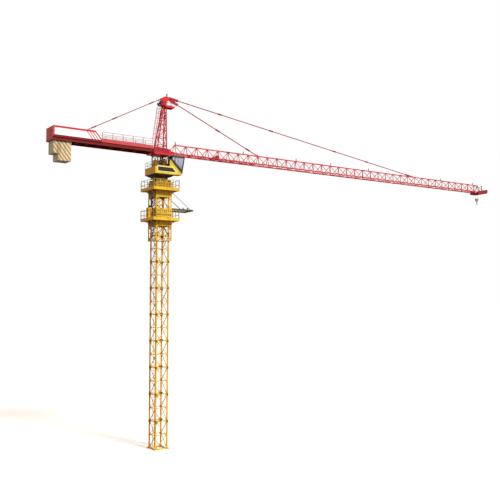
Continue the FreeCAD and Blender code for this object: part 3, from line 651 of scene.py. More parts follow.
corners = CORNERS * LEG
joint_z = 0.06 + 2 * MAST_STEP * np.arange(1, 10)
sleeve_at = np.array([[x, y, z] for z in joint_z for x, y in corners])
bolts = []
for k, axis in ((0, X_AXIS), (1, Y_AXIS)):
    for dz in (-0.085, 0.0, 0.085):
        for s in BOTH:
            heads = sleeve_at[np.sign(sleeve_at[:, k]) == s].copy()
            heads[:, k] += s * 0.088
            heads[:, 2] += dz
            bolts.append(hexes(heads, np.array(axis) * s, 0.024, 0.018))
sleeves = [about(sleeve_at, (0.176, 0.176, 0.28)), about(sleeve_at, (0.196, 0.196, 0.03))]
piece("mast_sleeves", sleeves, MAST, "worn_brown", bevel=0.006)
piece("mast_joint_bolts", bolts, MAST, "worn_brown")

# %% [markdown]
# Where the bracing meets a leg it is welded to a small gusset, and below each joint to a larger, three-cornered
# one. They are thin plates in the plane of each face of the mast.

# %% Gussets
levels = (0.06 + MAST_STEP * np.arange(21)).clip(0.16, 29.9)
gussets = []
for s in BOTH:
    for e in BOTH:
        g = rows(e * 0.60, s * LEG, levels)
        gussets.append(about(g, (0.13, 0.014, 0.20)))
        gussets.append(about(g[:, [1, 0, 2]], (0.014, 0.13, 0.20)))
for z in joint_z:
    for s in BOTH:
        for e in BOTH:
            points = [(e * 0.66, z + 0.14), (e * 0.30, z + 0.14), (e * 0.66, z - 0.34)]
            gussets += [slab(points, axis, s * LEG - 0.005, s * LEG + 0.005) for axis in "yx"]
piece("mast_gussets", gussets, MAST, "mast_orange")

# %% [markdown]
# The mast stands on four foot plates. Ribs carry each leg's load out to the plate's edge, and nuts on long studs
# hold it to the ground. One rib is drawn, and spun by quarter turns.

# %% Foot ribs and anchor nuts
v, f = slab([(0.07, 0.06), (0.2, 0.06), (0.07, 0.32)], "y", -0.01, 0.01)
rib_parts = []
for x, y in corners:
    for turn in range(4):
        c, s = math.cos(turn * math.pi / 2), math.sin(turn * math.pi / 2)
        rib_parts.append((rows(v[:, 0] * c - v[:, 1] * s, v[:, 0] * s + v[:, 1] * c, v[:, 2]) + real([x, y, 0]), f))
piece("foot_ribs", rib_parts, MAST, "mast_orange")
studs = rows(*square_round(corners, 0.17).T, 0.06)
stud_profile = [(0.017, 0), (0.017, 0.10), (0.013, 0.108)]
piece("anchor_nuts", [hexes(studs, Z_AXIS, 0.034, 0.03), lathe(stud_profile, studs, Z_AXIS, 12)], MAST, "dark_steel")

# %% [markdown]
# ## The climbing frame
# It wraps the mast's top sections and lifts everything above by its ram when a section is added. People work on
# its two walkways, so their tops are grating, and a toe board keeps tools from falling off. Grating could be a
# picture on a flat plate, but its bars catch the light one by one.

# %% Walkway grating and toe boards
WALKWAYS = (25.80, 29.26)  # heights of the two floors
BANDS = ((25.14, 25.74), (28.45, 29.19))                         # bottoms and tops of the deep plates under them
bar_at = np.arange(-1.60, 1.601, 0.07)
inner = bar_at[np.abs(bar_at) < 1.0]
grating, boards = [], []
for floor_z in WALKWAYS:
    z = floor_z + 0.008
    for s in BOTH:
        grating.append(bars(rows(bar_at, s * 1.02, z), rows(bar_at, s * 1.60, z), 0.012, 0.016, Z_AXIS))
        grating.append(bars(rows(s * 1.02, inner, z), rows(s * 1.60, inner, z), 0.012, 0.016, Z_AXIS))
        y0, y1 = span(s, 1.640, 1.650)
        boards.append(blocks([-1.65, y0, floor_z - 0.14], [1.65, y1, floor_z + 0.20]))
        boards.append(blocks([y0, -1.64, floor_z - 0.14], [y1, 1.64, floor_z + 0.20]))
piece("walkway_grating", grating, FRAME, "cage_yellow")
piece("walkway_toe_boards", boards, FRAME, "cage_yellow")

# %% [markdown]
# Each corner of the frame has a plate where its bars meet, and its two deep bands are stiffened by upright ribs.
# The front is open between the bands, where a new section is pushed in. A mirror modifier could copy one
# corner, but the open front breaks the symmetry, so the corners are a loop with one exception.

# %% Corner plates and band stiffeners
plates = []
for x, y in CORNERS:
    for z in (23.47, 25.11, 25.78, 27.13, 28.42):
        plates.append(about([[x * 0.86, y * 0.997, z]], (0.24, 0.012, 0.2)))
        if not (x > 0 and 25.7 < z < 28.4):
            plates.append(about([[x * 0.997, y * 0.86, z]], (0.012, 0.24, 0.2)))
for low, high in BANDS:
    z = (low + high) / 2
    for a in (-0.65, -0.32, 0.0, 0.32, 0.65):
        plates += [about([[a, e * 0.99, z], [e * 0.99, a, z]], (0.03, 0.03, high - low)) for e in BOTH]
piece("cage_plates", plates, FRAME, "cage_yellow", bevel=0.004)

# %% [markdown]
# Brown plates at the back of the bands are painted shade on that side. Two climbing beams run along the sides at mid
# height, with flanges and two rows of square slots. Each slot is a thin brown plate, painted shade seen through
# the slot, since the beam's web is drawn solid.

# %% Painted shade at the back of the bands, and climbing beams
# painted shade: dark brown plates on the back face of the two bands
back_shade_plates = [blocks([-1.012, y - 0.29, low], [-1.004, y + 0.29, high])
          for low, high in BANDS for y in (-0.63, 0.0, 0.63)]
piece("cage_back_shade_plates", back_shade_plates, FRAME, "worn_brown")
beam, slot_shade = [], []
for s in BOTH:
    y0, y1 = span(s, 1.004, 1.050)
    beam.append(blocks([-0.95, y0, 26.12], [0.95, y1, 26.98]))
    y0, y1 = span(s, 1.007, 1.085)
    beam += [blocks([-0.97, y0, z], [0.97, y1, z + 0.05]) for z in (26.10, 26.60, 26.96)]
    # painted shade in the slots: a brown plate just off each beam's web
    y0, y1 = span(s, 1.051, 1.056)
    slot_shade += [blocks([x - 0.085, y0, z - 0.085], [x + 0.085, y1, z + 0.085])
              for z in (26.34, 26.80) for x in np.arange(-0.8, 0.81, 0.267)]
piece("climbing_beams", beam, FRAME, "cage_yellow", bevel=0.004)
piece("climbing_beam_slot_shade", slot_shade, FRAME, "worn_brown")

# %% [markdown]
# The power pack feeds the ram: a cased pump with louvres for cooling, and its motor upright on the lid. Its place
# is read from the frame's own box, so these details follow it if it is ever moved.

# %% Power pack
lo, hi = np.array(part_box("power_pack")) / HALF
mid = (lo + hi) / 2
casing = []
for z in np.arange(lo[2] + 0.18, hi[2] - 0.15, 0.06):
    if z > mid[2]:
        casing.append(about([[lo[0] - 0.01, mid[1], z]], (0.02, 0.40, 0.02)))
        casing.append(about([[mid[0], lo[1] - 0.01, z]], (0.28, 0.02, 0.02)))
casing.append(about([[lo[0] - 0.012, mid[1], lo[2] + 0.38]], (0.02, 0.50, 0.52)))
casing.append(blocks([lo[0] - 0.02, lo[1] - 0.02, hi[2]], [hi[0] + 0.02, hi[1] + 0.02, hi[2] + 0.035]))
piece("power_pack_casing", casing, FRAME, "cage_yellow", bevel=0.006)
motor = [(0.10, 0.0)] + fins(0.115, 0.095, 0.02, 0.012, 22) + [(0.09, 0.30), (0.04, 0.31)]
piece("power_pack_motor", [lathe(motor, [[mid[0], mid[1], hi[2] + 0.035]], Z_AXIS, 24)], FRAME, "drive_paint",
      smooth=True)

# %% [markdown]
# A new section is rolled in under the two feed beams, from a small trolley. Flanges make each beam an I, and the
# trolley's rollers run on the upper ones. The frame already has the webs, so only flanges are added.

# %% Feed beam and section trolley
flanges = [blocks([1.01, s * 0.92 - 0.075, z - 0.011], [3.85, s * 0.92 + 0.075, z + 0.011])
           for s in BOTH for z in (26.98, 27.16)]
piece("feed_beam_flanges", flanges, FRAME, "feed_beam_paint", bevel=0.003)
rollers = [rods(0.05, 0.03, [[x, s * 0.995, 27.22]], Y_AXIS, 16) for x in (2.5, 3.1) for s in BOTH]
rollers.append(about([[x, s * 0.92, 27.30] for x in (2.5, 3.1) for s in BOTH], (0.22, 0.22, 0.03)))
piece("section_trolley", rollers, FRAME, "dark_steel", smooth=True)

# %% [markdown]
# A ladder joins the two walkways, with a hatch over its head. An array modifier could repeat one rung; as all
# rungs are one profile at many centres, one call makes them.

# %% Ladder between the walkways
stile_x = np.array([0.3 - 0.19, 0.3 + 0.19])
ladder = [bars(rows(stile_x, 1.12, 25.82), rows(stile_x, 1.12, 29.12), 0.035, 0.05),
          rods(0.012, 0.19, rows(0.3, 1.12, np.arange(26.05, 29.1, 0.27)), X_AXIS, 8),
          about([[0.3, 1.32, 29.275]], (0.62, 0.50, 0.025)),
          bars([[0.2, 1.52, 29.30]], [[0.4, 1.52, 29.30]], 0.02)]
piece("frame_ladder", ladder, FRAME, "ladder_steel")

# %% [markdown]
# Hoses and cables climb the back in a banded trunk, beside the control box with its door. The ram's barrel ends
# in a gland, the collar that its rod slides through: a profile turned about the ram's axis.

# %% Hose trunk, control box and ram gland
trunk = [blocks([-1.10, -0.13, 25.84], [-1.005, 0.13, 28.44])]
trunk += [about([[-1.055, 0, z]], (0.13, 0.30, 0.05)) for z in (26.1, 26.7, 27.3, 27.9, 28.35)]
piece("hose_trunk", trunk, FRAME, "table_paint", bevel=0.005)
control = [blocks([-1.14, -0.80, 26.0], [-1.004, -0.56, 27.05]),
           blocks([-1.155, -0.78, 26.03], [-1.14, -0.58, 27.02])]
piece("frame_control_box", control, FRAME, "table_paint", bevel=0.005)
gland = [(0.035, 0), (0.062, 0.0), (0.066, 0.02), (0.066, 0.07), (0.061, 0.08)]
ram_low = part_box("ram_barrel")[0][2] / HALF
piece("ram_gland", [lathe(gland, [[-0.86, 0, ram_low - 0.01]], Z_AXIS, 24)], FRAME, "dark_steel", smooth=True)

# %% [markdown]
# ## The slewing ring
# The whole upper works turns on one ring. Its fixed race carries the gear teeth, and two drives stand on the
# platform with their pinions in mesh. Teeth are blocks set round a circle, each turned to face outwards.

# %% Gear teeth, ring bolts and pinions
def round_the_axis(v, f, count, centre=(0, 0)):
    """Copies a part count times about a vertical axis, as one array."""
    a = np.arange(count) * 2 * math.pi / count
    c, s = np.cos(a)[:, None], np.sin(a)[:, None]
    x = c * v[None, :, 0] - s * v[None, :, 1] + centre[0] * HALF
    y = s * v[None, :, 0] + c * v[None, :, 1] + centre[1] * HALF
    faces = [[i + len(v) * k for i in row] for k in range(count) for row in f]
    return rows(x, y, v[None, :, 2]).reshape(-1, 3), faces


piece("ring_gear", [round_the_axis(*blocks([0.84, -0.014, 30.53], [0.895, 0.014, 30.61]), 96)], FRAME, "dark_steel")
turns = np.arange(36) * 2 * math.pi / 36
ring_bolts = rows(0.83 * np.cos(turns), 0.83 * np.sin(turns), 30.52) * [0.985, 0.985, 1]
piece("base_bolts", [hexes(ring_bolts, (0, 0, -1), 0.022, 0.02)], FRAME, "dark_steel")
shaft = [(0.10, 30.53), (0.10, 30.61), (0.05, 30.61), (0.05, 30.80)]
cog = blocks([0.09, -0.013, 30.53], [0.135, 0.013, 30.61])
pinions = []
for s in BOTH:
    spot = (-0.761, s * 0.717)
    pinions += [lathe(shaft, [[*spot, 0]], Z_AXIS, 24), round_the_axis(*cog, 14, spot)]
piece("slew_pinions", pinions, UPPER, "dark_steel")

# %% [markdown]
# The slewing base under the ring is a box of thick plate. Webs stand under the ring all the way round, ribs and
# ledges stiffen the sides, and openings between them lighten it. A brown plate just off the wall stands for each
# opening and paints the shade inside it, as a hole would have to cut through the frame's solid; brown fill between
# the webs under the ring paints the shade there too.

# %% Slewing base
web = slab([(0.60, 30.10), (0.99, 30.10), (0.99, 30.17), (0.845, 30.46), (0.60, 30.46)], "y", -0.014, 0.014)
lip = lathe([(0.80, 30.46), (0.90, 30.46), (0.90, 30.50), (0.80, 30.50)], [[0, 0, 0]], Z_AXIS, 48)
piece("slewing_base_webs", [round_the_axis(*web, 24), lip], FRAME, "cage_yellow")
# painted shade: brown fill between the webs, and a brown plate in each opening
opening_shade = [lathe([(0.70, 30.115), (0.826, 30.115), (0.826, 30.45), (0.70, 30.45)], [[0, 0, 0]], Z_AXIS, 48)]
opening_shade += [blocks([x - 0.13, y - 0.13, 30.112], [x + 0.13, y + 0.13, 30.40]) for x, y in CORNERS * 0.80]
for a in (-0.675, -0.335, 0.0, 0.335, 0.675):
    for z, h in ((29.92, 0.20), (29.56, 0.30)):
        for e in BOTH:
            y0, y1 = span(e, 1.0005, 1.006)
            opening_shade.append(blocks([a - 0.115, y0, z - h / 2], [a + 0.115, y1, z + h / 2]))
            opening_shade.append(blocks([y0, a - 0.115, z - h / 2], [y1, a + 0.115, z + h / 2]))
piece("slewing_base_opening_shade", opening_shade, FRAME, "worn_brown")
stiff = [about([[a, e * 1.01, 29.69], [e * 1.01, a, 29.69]], (0.04, 0.04, 0.78))
         for a in (-0.85, -0.5, -0.17, 0.17, 0.5, 0.85) for e in BOTH]
for z in (29.30, 30.06):
    stiff += [blocks([-1.04, y, z], [1.04, y + 0.04, z + 0.05]) for y in (-1.04, 1.0)]
    stiff += [blocks([x, -1.0, z], [x + 0.04, 1.0, z + 0.05]) for x in (-1.04, 1.0)]
piece("slewing_base_stiffeners", stiff, FRAME, "cage_yellow", bevel=0.004)

# %% [markdown]
# ## The cab platform and cab
# A platform goes round the slewing column, with a bare board on its near side. The cab's yellow side runs down
# beside it to a point. All of these are thin plates on one upright plane.

# %% Board and its frame
Y0 = -1.30  # the near side of the cab and its platform
SILL, BOARD_TOP, CAB_FOOT = 31.20, 31.87, 31.06


def near_slab(outline, front, back=0.001):
    """A plate on the cab's near side, from front to back in front of that plane."""
    return slab(outline, "y", Y0 - front, Y0 - back)


piece("platform_board", [near_slab([(-1.07, 31.21), (1.54, 31.21), (0.90, 31.86), (-1.07, 31.86)], 0.012)], UPPER,
      "board_dark")
trim = [near_slab([(-1.14, CAB_FOOT), (1.68, CAB_FOOT), (1.56, SILL), (-1.14, SILL)], 0.03),
        near_slab([(-1.14, BOARD_TOP), (0.89, BOARD_TOP), (0.83, 31.93), (-1.14, 31.93)], 0.03),
        near_slab([(-1.14, SILL), (-1.08, SILL), (-1.08, BOARD_TOP), (-1.14, BOARD_TOP)], 0.03),
        near_slab([(0.54, 32.70), (0.54, 32.55), (2.02, CAB_FOOT), (2.16, CAB_FOOT), (2.13, 31.14)], 0.04)]
piece("board_frame", trim, UPPER, "cab_yellow", bevel=0.004)
border = [[x, Y0 - 0.03, z] for x, z in ((-1.03, 31.255), (1.43, 31.255), (0.87, 31.82), (-1.03, 31.82))]
piece("board_border", ring_of_bars(border, 0.085, 0.03), UPPER, "panel_border")

# %% [markdown]
# The cab has a big slanting window, so that the driver sees the hook. Dark frames hold the panes, each set at its
# own depth, and rubber seals run round them. The front pane leans forward, and a wiper lies on it.

# %% Window frame, seals and wiper
frames = [near_slab([(0.56, 32.80), (2.12, 31.12), (2.12, 31.60), (1.14, 32.64), (0.82, 32.80)], 0.022),
          near_slab([(0.80, 33.06), (0.80, 32.60), (0.94, 32.46), (0.94, 33.06)], 0.020),
          near_slab([(1.17, 32.30), (1.17, 33.08), (1.27, 33.08), (1.27, 32.20)], 0.018, 0.002),
          near_slab([(0.80, 33.05), (2.45, 33.05), (2.49, 33.19), (0.80, 33.19)], 0.024, 0.003),
          near_slab([(2.10, 31.16), (2.17, 31.16), (2.50, 33.12), (2.36, 33.12), (2.05, 31.30)], 0.026, 0.004)]
piece("cab_window_frame", frames, UPPER, "cab_trim", bevel=0.004)


def front_x(z):
    """How far forward the leaning front pane is at a height: a straight line from the cab's foot to its roof."""
    return 2.14 + (2.50 - 2.14) / (33.2 - 31.06) * (z - 31.06) - 0.008


near_pane = np.array([(0.92, 32.33), (2.08, 31.19), (2.40, 33.08), (0.92, 33.08)])
far_pane = np.array([(1.50, 31.90), (2.18, 31.90), (2.40, 33.08), (1.50, 33.08)])
seals = [bar for pane, y in ((near_pane, Y0 + 0.004), (far_pane, -0.304))
         for bar in ring_of_bars(rows(pane[:, 0], y, pane[:, 1]), 0.035, 0.035)]
seals.append(bars([[1.62, Y0 + 0.006, 31.66]], [[1.62, Y0 + 0.006, 33.06]], 0.03))
seals += [bars([[front_x(31.19), y, 31.19]], [[front_x(33.08), y, 33.08]], 0.035) for y in (-1.20, -0.40)]
seals += [bars([[front_x(z), -1.21, z]], [[front_x(z), -0.39, z]], 0.035, normal=X_AXIS)
          for z in (31.19, 32.05, 33.08)]
seals.append(bars([[front_x(31.3) + 0.02, -0.78, 31.3]], [[front_x(31.95) + 0.025, -0.60, 31.95]], 0.014))
piece("cab_seals", seals, UPPER, "cab_trim")

# %% [markdown]
# A cooling unit sits on the roof. The door is on the side towards the jib's middle, with a bent bar for a handle,
# two hinges and a grab rail before it. Bent bars are tubes along a few points.

# %% Cab roof unit and door fittings
roof = [blocks([1.15, -1.05, 33.205], [1.95, -0.45, 33.40])]
roof += [about([[1.96, -0.75, z]], (0.02, 0.5, 0.02)) for z in (33.25, 33.30, 33.35)]
piece("cab_roof_unit", roof, UPPER, "worn_brown", bevel=0.03)
door = [[x, -0.294, z] for x, z in ((0.86, 31.14), (1.42, 31.14), (1.42, 33.08), (0.86, 33.08))]
handle = rows(1.34, [-0.30, -0.25, -0.25, -0.30], [32.0, 32.02, 32.2, 32.22])
grab_rail = rows([2.20, 2.21, 2.36, 2.37], [-0.31, -0.26, -0.26, -0.31], [31.6, 31.65, 32.6, 32.65])
fittings = ring_of_bars(door, 0.022, 0.02) + [tube(handle, 0.012, 8)]
fittings += [about([[0.88, -0.29, z] for z in (31.5, 32.7)], (0.06, 0.03, 0.12)), tube(grab_rail, 0.014, 8)]
piece("cab_door_fittings", fittings, UPPER, "cab_trim", bevel=0.003)

# %% [markdown]
# The seat is two stuffed cushions on a pedestal, between two consoles with joysticks. A cushion could be a soft
# simulation, but its cover is tight over foam, so a superellipsoid has the right crowned shape at once.

# %% Cab seat and consoles
SEAT_Y = -0.80


def swell(w, power=0.38):
    """A cosine or sine raised to a small power with its sign kept, which squares a circle off."""
    return np.sign(w) * np.abs(w) ** power


def cushion(name, centre, size, lean):
    """A crowned pad: x = a·cos(u)^p·cos(v)^p, y = b·cos(u)^p·sin(v)^p, z = c·sin(u)^p, thinner towards its
    sides, and leaned back about the cross axis."""
    u = np.linspace(-math.pi / 2, math.pi / 2, 25)[:, None]
    v = np.linspace(-math.pi, math.pi, 48, endpoint=False)[None]
    x, y = swell(np.cos(u)) * swell(np.cos(v)), swell(np.cos(u)) * swell(np.sin(v))
    z = swell(np.sin(u)) * np.ones_like(v) * (1 - 0.10 * np.abs(y) ** 3)
    x, y, z = (np.stack([x, y, z], -1) * np.array(size) / 2).transpose(2, 0, 1)
    c, s = math.cos(lean), math.sin(lean)
    verts = real(rows(x * c + z * s, y, -x * s + z * c) + np.array(centre))[1:-1]
    rings, sides = verts.shape[:2]
    pad = piece(name, [(verts.reshape(-1, 3), ring_quads(rings, sides).tolist() + end_caps(rings, sides))], UPPER,
                "cab_trim", smooth=True)
    return pad


seat_base = cushion("seat_cushion", (1.37, SEAT_Y, 31.56), (0.50, 0.48, 0.14), 0.0)
cushion("seat_back", (1.14, SEAT_Y, 31.93), (0.12, 0.46, 0.68), -0.13)
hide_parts("cab_seat")
joystick = [(0.012, 31.66), (0.010, 31.78), (0.028, 31.79), (0.026, 31.86), (0.01, 31.88)]
seat_metal = [blocks([1.28, -0.9, 31.10], [1.48, -0.70, 31.49]), blocks([1.17, -1.0, 31.46], [1.58, -0.60, 31.50])]
for s in BOTH:
    y = SEAT_Y + s * 0.33
    seat_metal += [blocks([1.35, y - 0.07, 31.10], [1.75, y + 0.07, 31.66]),
                   lathe(joystick, [[1.62, y, 0]], Z_AXIS, 16)]
piece("seat_pedestal_and_consoles", seat_metal, UPPER, "cab_trim", bevel=0.006)

# %% [markdown]
# Handrails go round the platform, posts first and then two runs of rail. Two finned motors stand on it and turn
# the crane. Each fin could be its own disc; a profile that steps in and out gives them all at once.

# %% Platform handrails and slewing motors
RAIL = 1.285  # from the axis to the handrail
posts = [(-RAIL, y) for y in (-1.28, -0.65, 0.0, 0.65, 1.28)] + [(x, RAIL) for x in (-0.65, 0.0, 0.65, 1.28)]
posts += [(-0.99, -RAIL), (RAIL, 0.6), (RAIL, -0.15)]
foot = rows(*np.array(posts).T, 31.75)
rail = [bars(foot, foot + [0, 0, 0.72], 0.028)]
for z in (32.12, 32.46):
    rail.append(bars([[-RAIL, -1.28, z], [-RAIL, RAIL, z], [RAIL, RAIL, z], [-RAIL, -RAIL, z]],
                     [[-RAIL, 1.28, z], [RAIL, RAIL, z], [RAIL, -0.16, z], [-0.985, -RAIL, z]], 0.028, normal=Z_AXIS))
piece("platform_handrails", rail, UPPER, "handrail_paint")
motor = [(0.20, 31.065), (0.20, 31.10), (0.178, 31.11), (0.178, 31.36)] + fins(0.150, 0.126, 31.38, 0.014, 22)
motor += [(0.13, 31.70), (0.13, 31.80), (0.05, 31.81)]
motors = [lathe(motor, [[-1.04, s * 0.98, 0]], Z_AXIS, 28) for s in BOTH]
piece("slew_motor_fins", motors, UPPER, "drive_paint", smooth=True)

# %% [markdown]
# ## Tower head, jib and ties
# The head carries the ties over its top. Their links are flat bars pinned end to end, and each pin shows as a
# knot along the tie. They are placed by how far along the crane they are, on the straight line of each tie.

# %% Tie links, pins and lugs
def along(a, b, x):
    """The point of the line from a to b that is at x: a + (b - a) · (x - ax) / (bx - ax)."""
    a, b = np.array(a, float), np.array(b, float)
    return a + (b - a) * ((x - a[0]) / (b[0] - a[0]))


tie_runs = {"outer": ((1.01, 0, 40.23), (41.78, 0, 34.81), (1.66, 8.12, 15.9, 26.61, 32.61, 40.9), 0.07),
            "inner": ((1.01, 0, 40.07), (13.70, 0, 34.81), (1.66, 7.82, 12.29), 0.07),
            "counter": ((-0.075, 0, 39.92), (-9.0, 0, 35.15), (-1.2, -5.76, -8.2), 0.06)}
links, pins = [], []
for name, (a, b, link_x, width) in tie_runs.items():
    run = unit(np.array(b) - np.array(a))
    for k, x in enumerate(link_x):
        centre = along(a, b, x)
        at_head = k == 0 and name != "counter"                   # the first links are the longest and deepest
        reach, deep = (0.62, 0.28) if at_head else (0.30, width + 0.09)
        for s in BOTH:
            aside = [0, s * 0.047, 0]
            links.append(bars([centre - run * reach + aside], [centre + run * reach + aside], deep, 0.03))
        pins += [rods(0.03, 0.068, [centre + run * e], Y_AXIS, 14) for e in (0.1 - reach, reach - 0.1)]
piece("tie_links", links, UPPER, "tie_red", bevel=0.004)
piece("tie_pins", pins, UPPER, "dark_steel", smooth=True)
lugs = []
for x in (13.70, 41.78):
    lugs += slab_pair([(x - 0.32, 34.80), (x + 0.22, 34.80), (x + 0.08, 34.93), (x - 0.12, 34.93)], 0.028, 0.048)
piece("tie_lugs", lugs, UPPER, "works_red")

# %% [markdown]
# At the top a railed platform lets a rigger reach the pins and the sheaves that lead the ropes over. A lamp
# looks back over the counter-jib and a beacon warns aircraft. Round parts are turned from their half outlines.

# %% Tower head
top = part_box("head_platform")[1][2] / HALF
foot = rows(*np.array([(x, y) for x in (-0.11, 0.5, 1.08, 1.64) for y in (-0.41, 0.41)]).T, top)
head = [bars(foot, foot + [0, 0, 0.62], 0.026)]
for z in (top + 0.30, top + 0.61):
    head.append(bars([[-0.12, -0.41, z], [-0.12, 0.41, z], [-0.11, -0.41, z], [1.64, -0.41, z]],
                     [[1.65, -0.41, z], [1.65, 0.41, z], [-0.11, 0.41, z], [1.64, 0.41, z]], 0.026, normal=Z_AXIS))
head += [blocks([0.40, y - 0.03, top - 0.24], [1.62, y + 0.03, top - 0.061]) for y in (-0.39, 0.39)]
head += [blocks([x - 0.03, -0.36, top - 0.20], [x + 0.03, 0.36, top - 0.061]) for x in (0.95, 1.59)]
piece("head_handrails", head, UPPER, "works_red")
lamp = [(0.05, 0), (0.15, 0.05), (0.17, 0.18), (0.16, 0.20), (0.02, 0.19)]
piece("head_lamp", [lathe(lamp, [[-0.20, 0, 39.33]], (-1, 0, -0.3), 28)], UPPER, "dark_steel", smooth=True)
beacon = [(0.02, 0), (0.02, 0.10), (0.085, 0.105), (0.085, 0.13), (0.075, 0.14), (0.075, 0.27), (0.04, 0.31)]
piece("head_beacon", [lathe(beacon, [[0.79, 0, top + 1.145]], Z_AXIS, 20)], UPPER, "dark_steel", smooth=True)
sheave = [(0.05, -0.03), (0.26, -0.03), (0.27, -0.02), (0.245, 0.0), (0.27, 0.02), (0.26, 0.03), (0.05, 0.03)]
piece("head_sheaves", [lathe(sheave, [[0.10, y, top + 0.30] for y in (-0.10, 0.10)], Y_AXIS, 32)], UPPER,
      "dark_steel", smooth=True)

# %% [markdown]
# The ladder up the back of the head leans with it. Hoops round the climber are arcs of tube, joined by straps,
# and standoffs hold the ladder off the lattice. A curve object with a bevel would do for the hoops, but it would
# have to be made a mesh for the export, so the tubes are worked out as meshes.

# %% Head ladder
ladder_foot, ladder_top = np.array([-0.802, 0, 33.95]), np.array([-0.076, 0, 38.95])
per_metre = (ladder_top - ladder_foot) / 5.0
turn = np.radians(np.linspace(-118, 118, 17))
hoops = []
for h in np.arange(1.2, 5.0, 0.62):
    x, _, z = ladder_foot + per_metre * h
    wide = 0.30 * np.sin(turn) / math.sin(2.06) * 0.66
    hoops.append(tube(rows(x - 0.135 - 0.26 * np.cos(turn), wide, z), 0.011, 6))
for a in np.radians((-64, -32, 0, 32, 64)):
    low, high = (ladder_foot + per_metre * h + np.array([-0.135 - 0.26 * math.cos(a), 0.30 * math.sin(a) * 0.75, 0])
                 for h in (1.2, 4.92))
    hoops.append(bars([low], [high], 0.022, 0.008))
for h in (0.5, 1.6, 2.7, 3.8, 4.6):
    x, _, z = ladder_foot + per_metre * h
    leg_x = -0.69 + 0.98 * (z - 33.5) / (top - 0.06 - 33.5)
    hoops.append(bars([[x, -0.19, z], [x, 0.19, z]], [[leg_x, -0.19, z], [leg_x, 0.19, z]], 0.03))
piece("head_ladder_hoops", hoops, UPPER, "works_red")

# %% [markdown]
# The slewing column is bolted between the table and the turret by square flanges, four bolts to each. Two root
# pins hold the jib to the turret.

# %% Column flanges, bolts and root pins
column = CORNERS * 0.7
flanges = [about(rows(*column.T, z), (0.24, 0.24, 0.04)) for z in (31.08, 33.28)]
piece("column_flanges", flanges, UPPER, "worn_brown", bevel=0.004)
nuts = rows(*square_round(column, 0.09).T, 31.10)
piece("column_bolts", [hexes(nuts, Z_AXIS, 0.02, 0.022), hexes(nuts + [0, 0, 2.16], (0, 0, -1), 0.02, 0.022)],
      UPPER, "dark_steel")
CHORD_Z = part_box("jib_tip")[0][2] / HALF + 0.06  # centre height of the bottom chords
root_pin = [(0.045, -0.10), (0.045, 0.10), (0.03, 0.11)]
piece("jib_root_pins", [lathe(root_pin, [[1.05, s * 0.67, CHORD_Z]], (0, s, 0), 18) for s in BOTH], UPPER,
      "dark_steel", smooth=True)

# %% [markdown]
# Ribbed plates close the turret's sides. Inside the column, behind a shroud, the cables that turn with the crane
# wind round a drum. The ribs start a little outside the plates, as faces in one plane would flicker.

# %% Turret side plates, column shroud and cable drum
sides = []
for s in BOTH:
    y0, y1 = span(s, 0.600, 0.625)
    sides.append(slab([(-1.18, 33.40), (1.02, 33.40), (1.02, 34.02), (0.40, 34.12), (-1.18, 34.20)], "y", y0, y1))
    y0, y1 = span(s, 0.603, 0.665)
    sides += [blocks([x, y0, 33.74], [x + 0.03, y1, 34.06]) for x in (-1.15, -0.55, 0.0, 0.55, 0.98)]
    sides.append(blocks([-1.2, y0, 33.36], [1.04, y1, 33.44]))
piece("turret_side_plates", sides, UPPER, "tie_red", bevel=0.004)
shroud = [blocks([-0.60, 0.600, 31.10], [0.60, 0.615, 32.85]), blocks([-0.615, -0.60, 31.10], [-0.600, 0.60, 32.55])]
shroud += [blocks([-0.60, 0.585, z], [0.60, 0.60, z + 0.04]) for z in (31.3, 31.7, 32.1, 32.5)]
piece("column_shroud", shroud, UPPER, "cage_yellow", bevel=0.003)
drum = [(0.10, 31.07), (0.26, 31.08), (0.26, 31.16), (0.19, 31.20), (0.19, 32.35), (0.26, 32.40), (0.26, 32.48),
        (0.08, 32.50), (0.08, 33.28)]
piece("cable_drum", [lathe(drum, [[0, 0, 0]], Z_AXIS, 28)], UPPER, "worn_brown", smooth=True)

# %% [markdown]
# The jib is pinned together from lengths of lattice, with a pair of plates and two pins at each joint. Smaller
# gussets follow the lacing at every bay, and a catwalk runs out past the trolley winch. Each set is one array.

# %% Jib joints, gussets and catwalk
joint_x = 1.1 + 7.5 * np.arange(1, 8)
bay_x = 1.1 + 1.5 * np.arange(1, 37)
plates, pin_spots = [], []
for x in joint_x:
    for s in BOTH:
        plates.append(about([[x, s * 0.717, CHORD_Z]], (0.42, 0.014, 0.10)))
        plates.append(about([[x, s * 0.65, CHORD_Z - 0.067]], (0.42, 0.10, 0.014)))
        pin_spots += [[x - 0.1, s * 0.65, CHORD_Z], [x + 0.1, s * 0.65, CHORD_Z]]
plates += [about(rows(bay_x, s * 0.63, CHORD_Z + 0.085), (0.26, 0.012, 0.07)) for s in BOTH]
plates.append(about(rows(bay_x + 0.75, 0, 34.675), (0.24, 0.10, 0.012)))
catwalk = [about(rows(np.arange(1.35, 13.6, 0.12), 0, CHORD_Z + 0.045), (0.03, 0.44, 0.012)),
           blocks([[1.3, y - 0.015, CHORD_Z + 0.028] for y in (-0.23, 0.23)],
                  [[13.65, y + 0.015, CHORD_Z + 0.075] for y in (-0.23, 0.23)])]
piece("jib_catwalk", catwalk, UPPER, "works_red")
piece("jib_joint_plates", plates, UPPER, "works_red", bevel=0.003)
piece("jib_joint_pins", [rods(0.022, 0.075, pin_spots, Y_AXIS, 10)], UPPER, "dark_steel", smooth=True)

# %% [markdown]
# The top chord has a sleeve near each joint and short posts for a lifeline. The trolley's rope runs out along the
# jib, round a sheave at the tip and back, and the hoist rope comes in from the counter-jib. They are taut, so
# each is a straight tube and no cord simulation is needed.

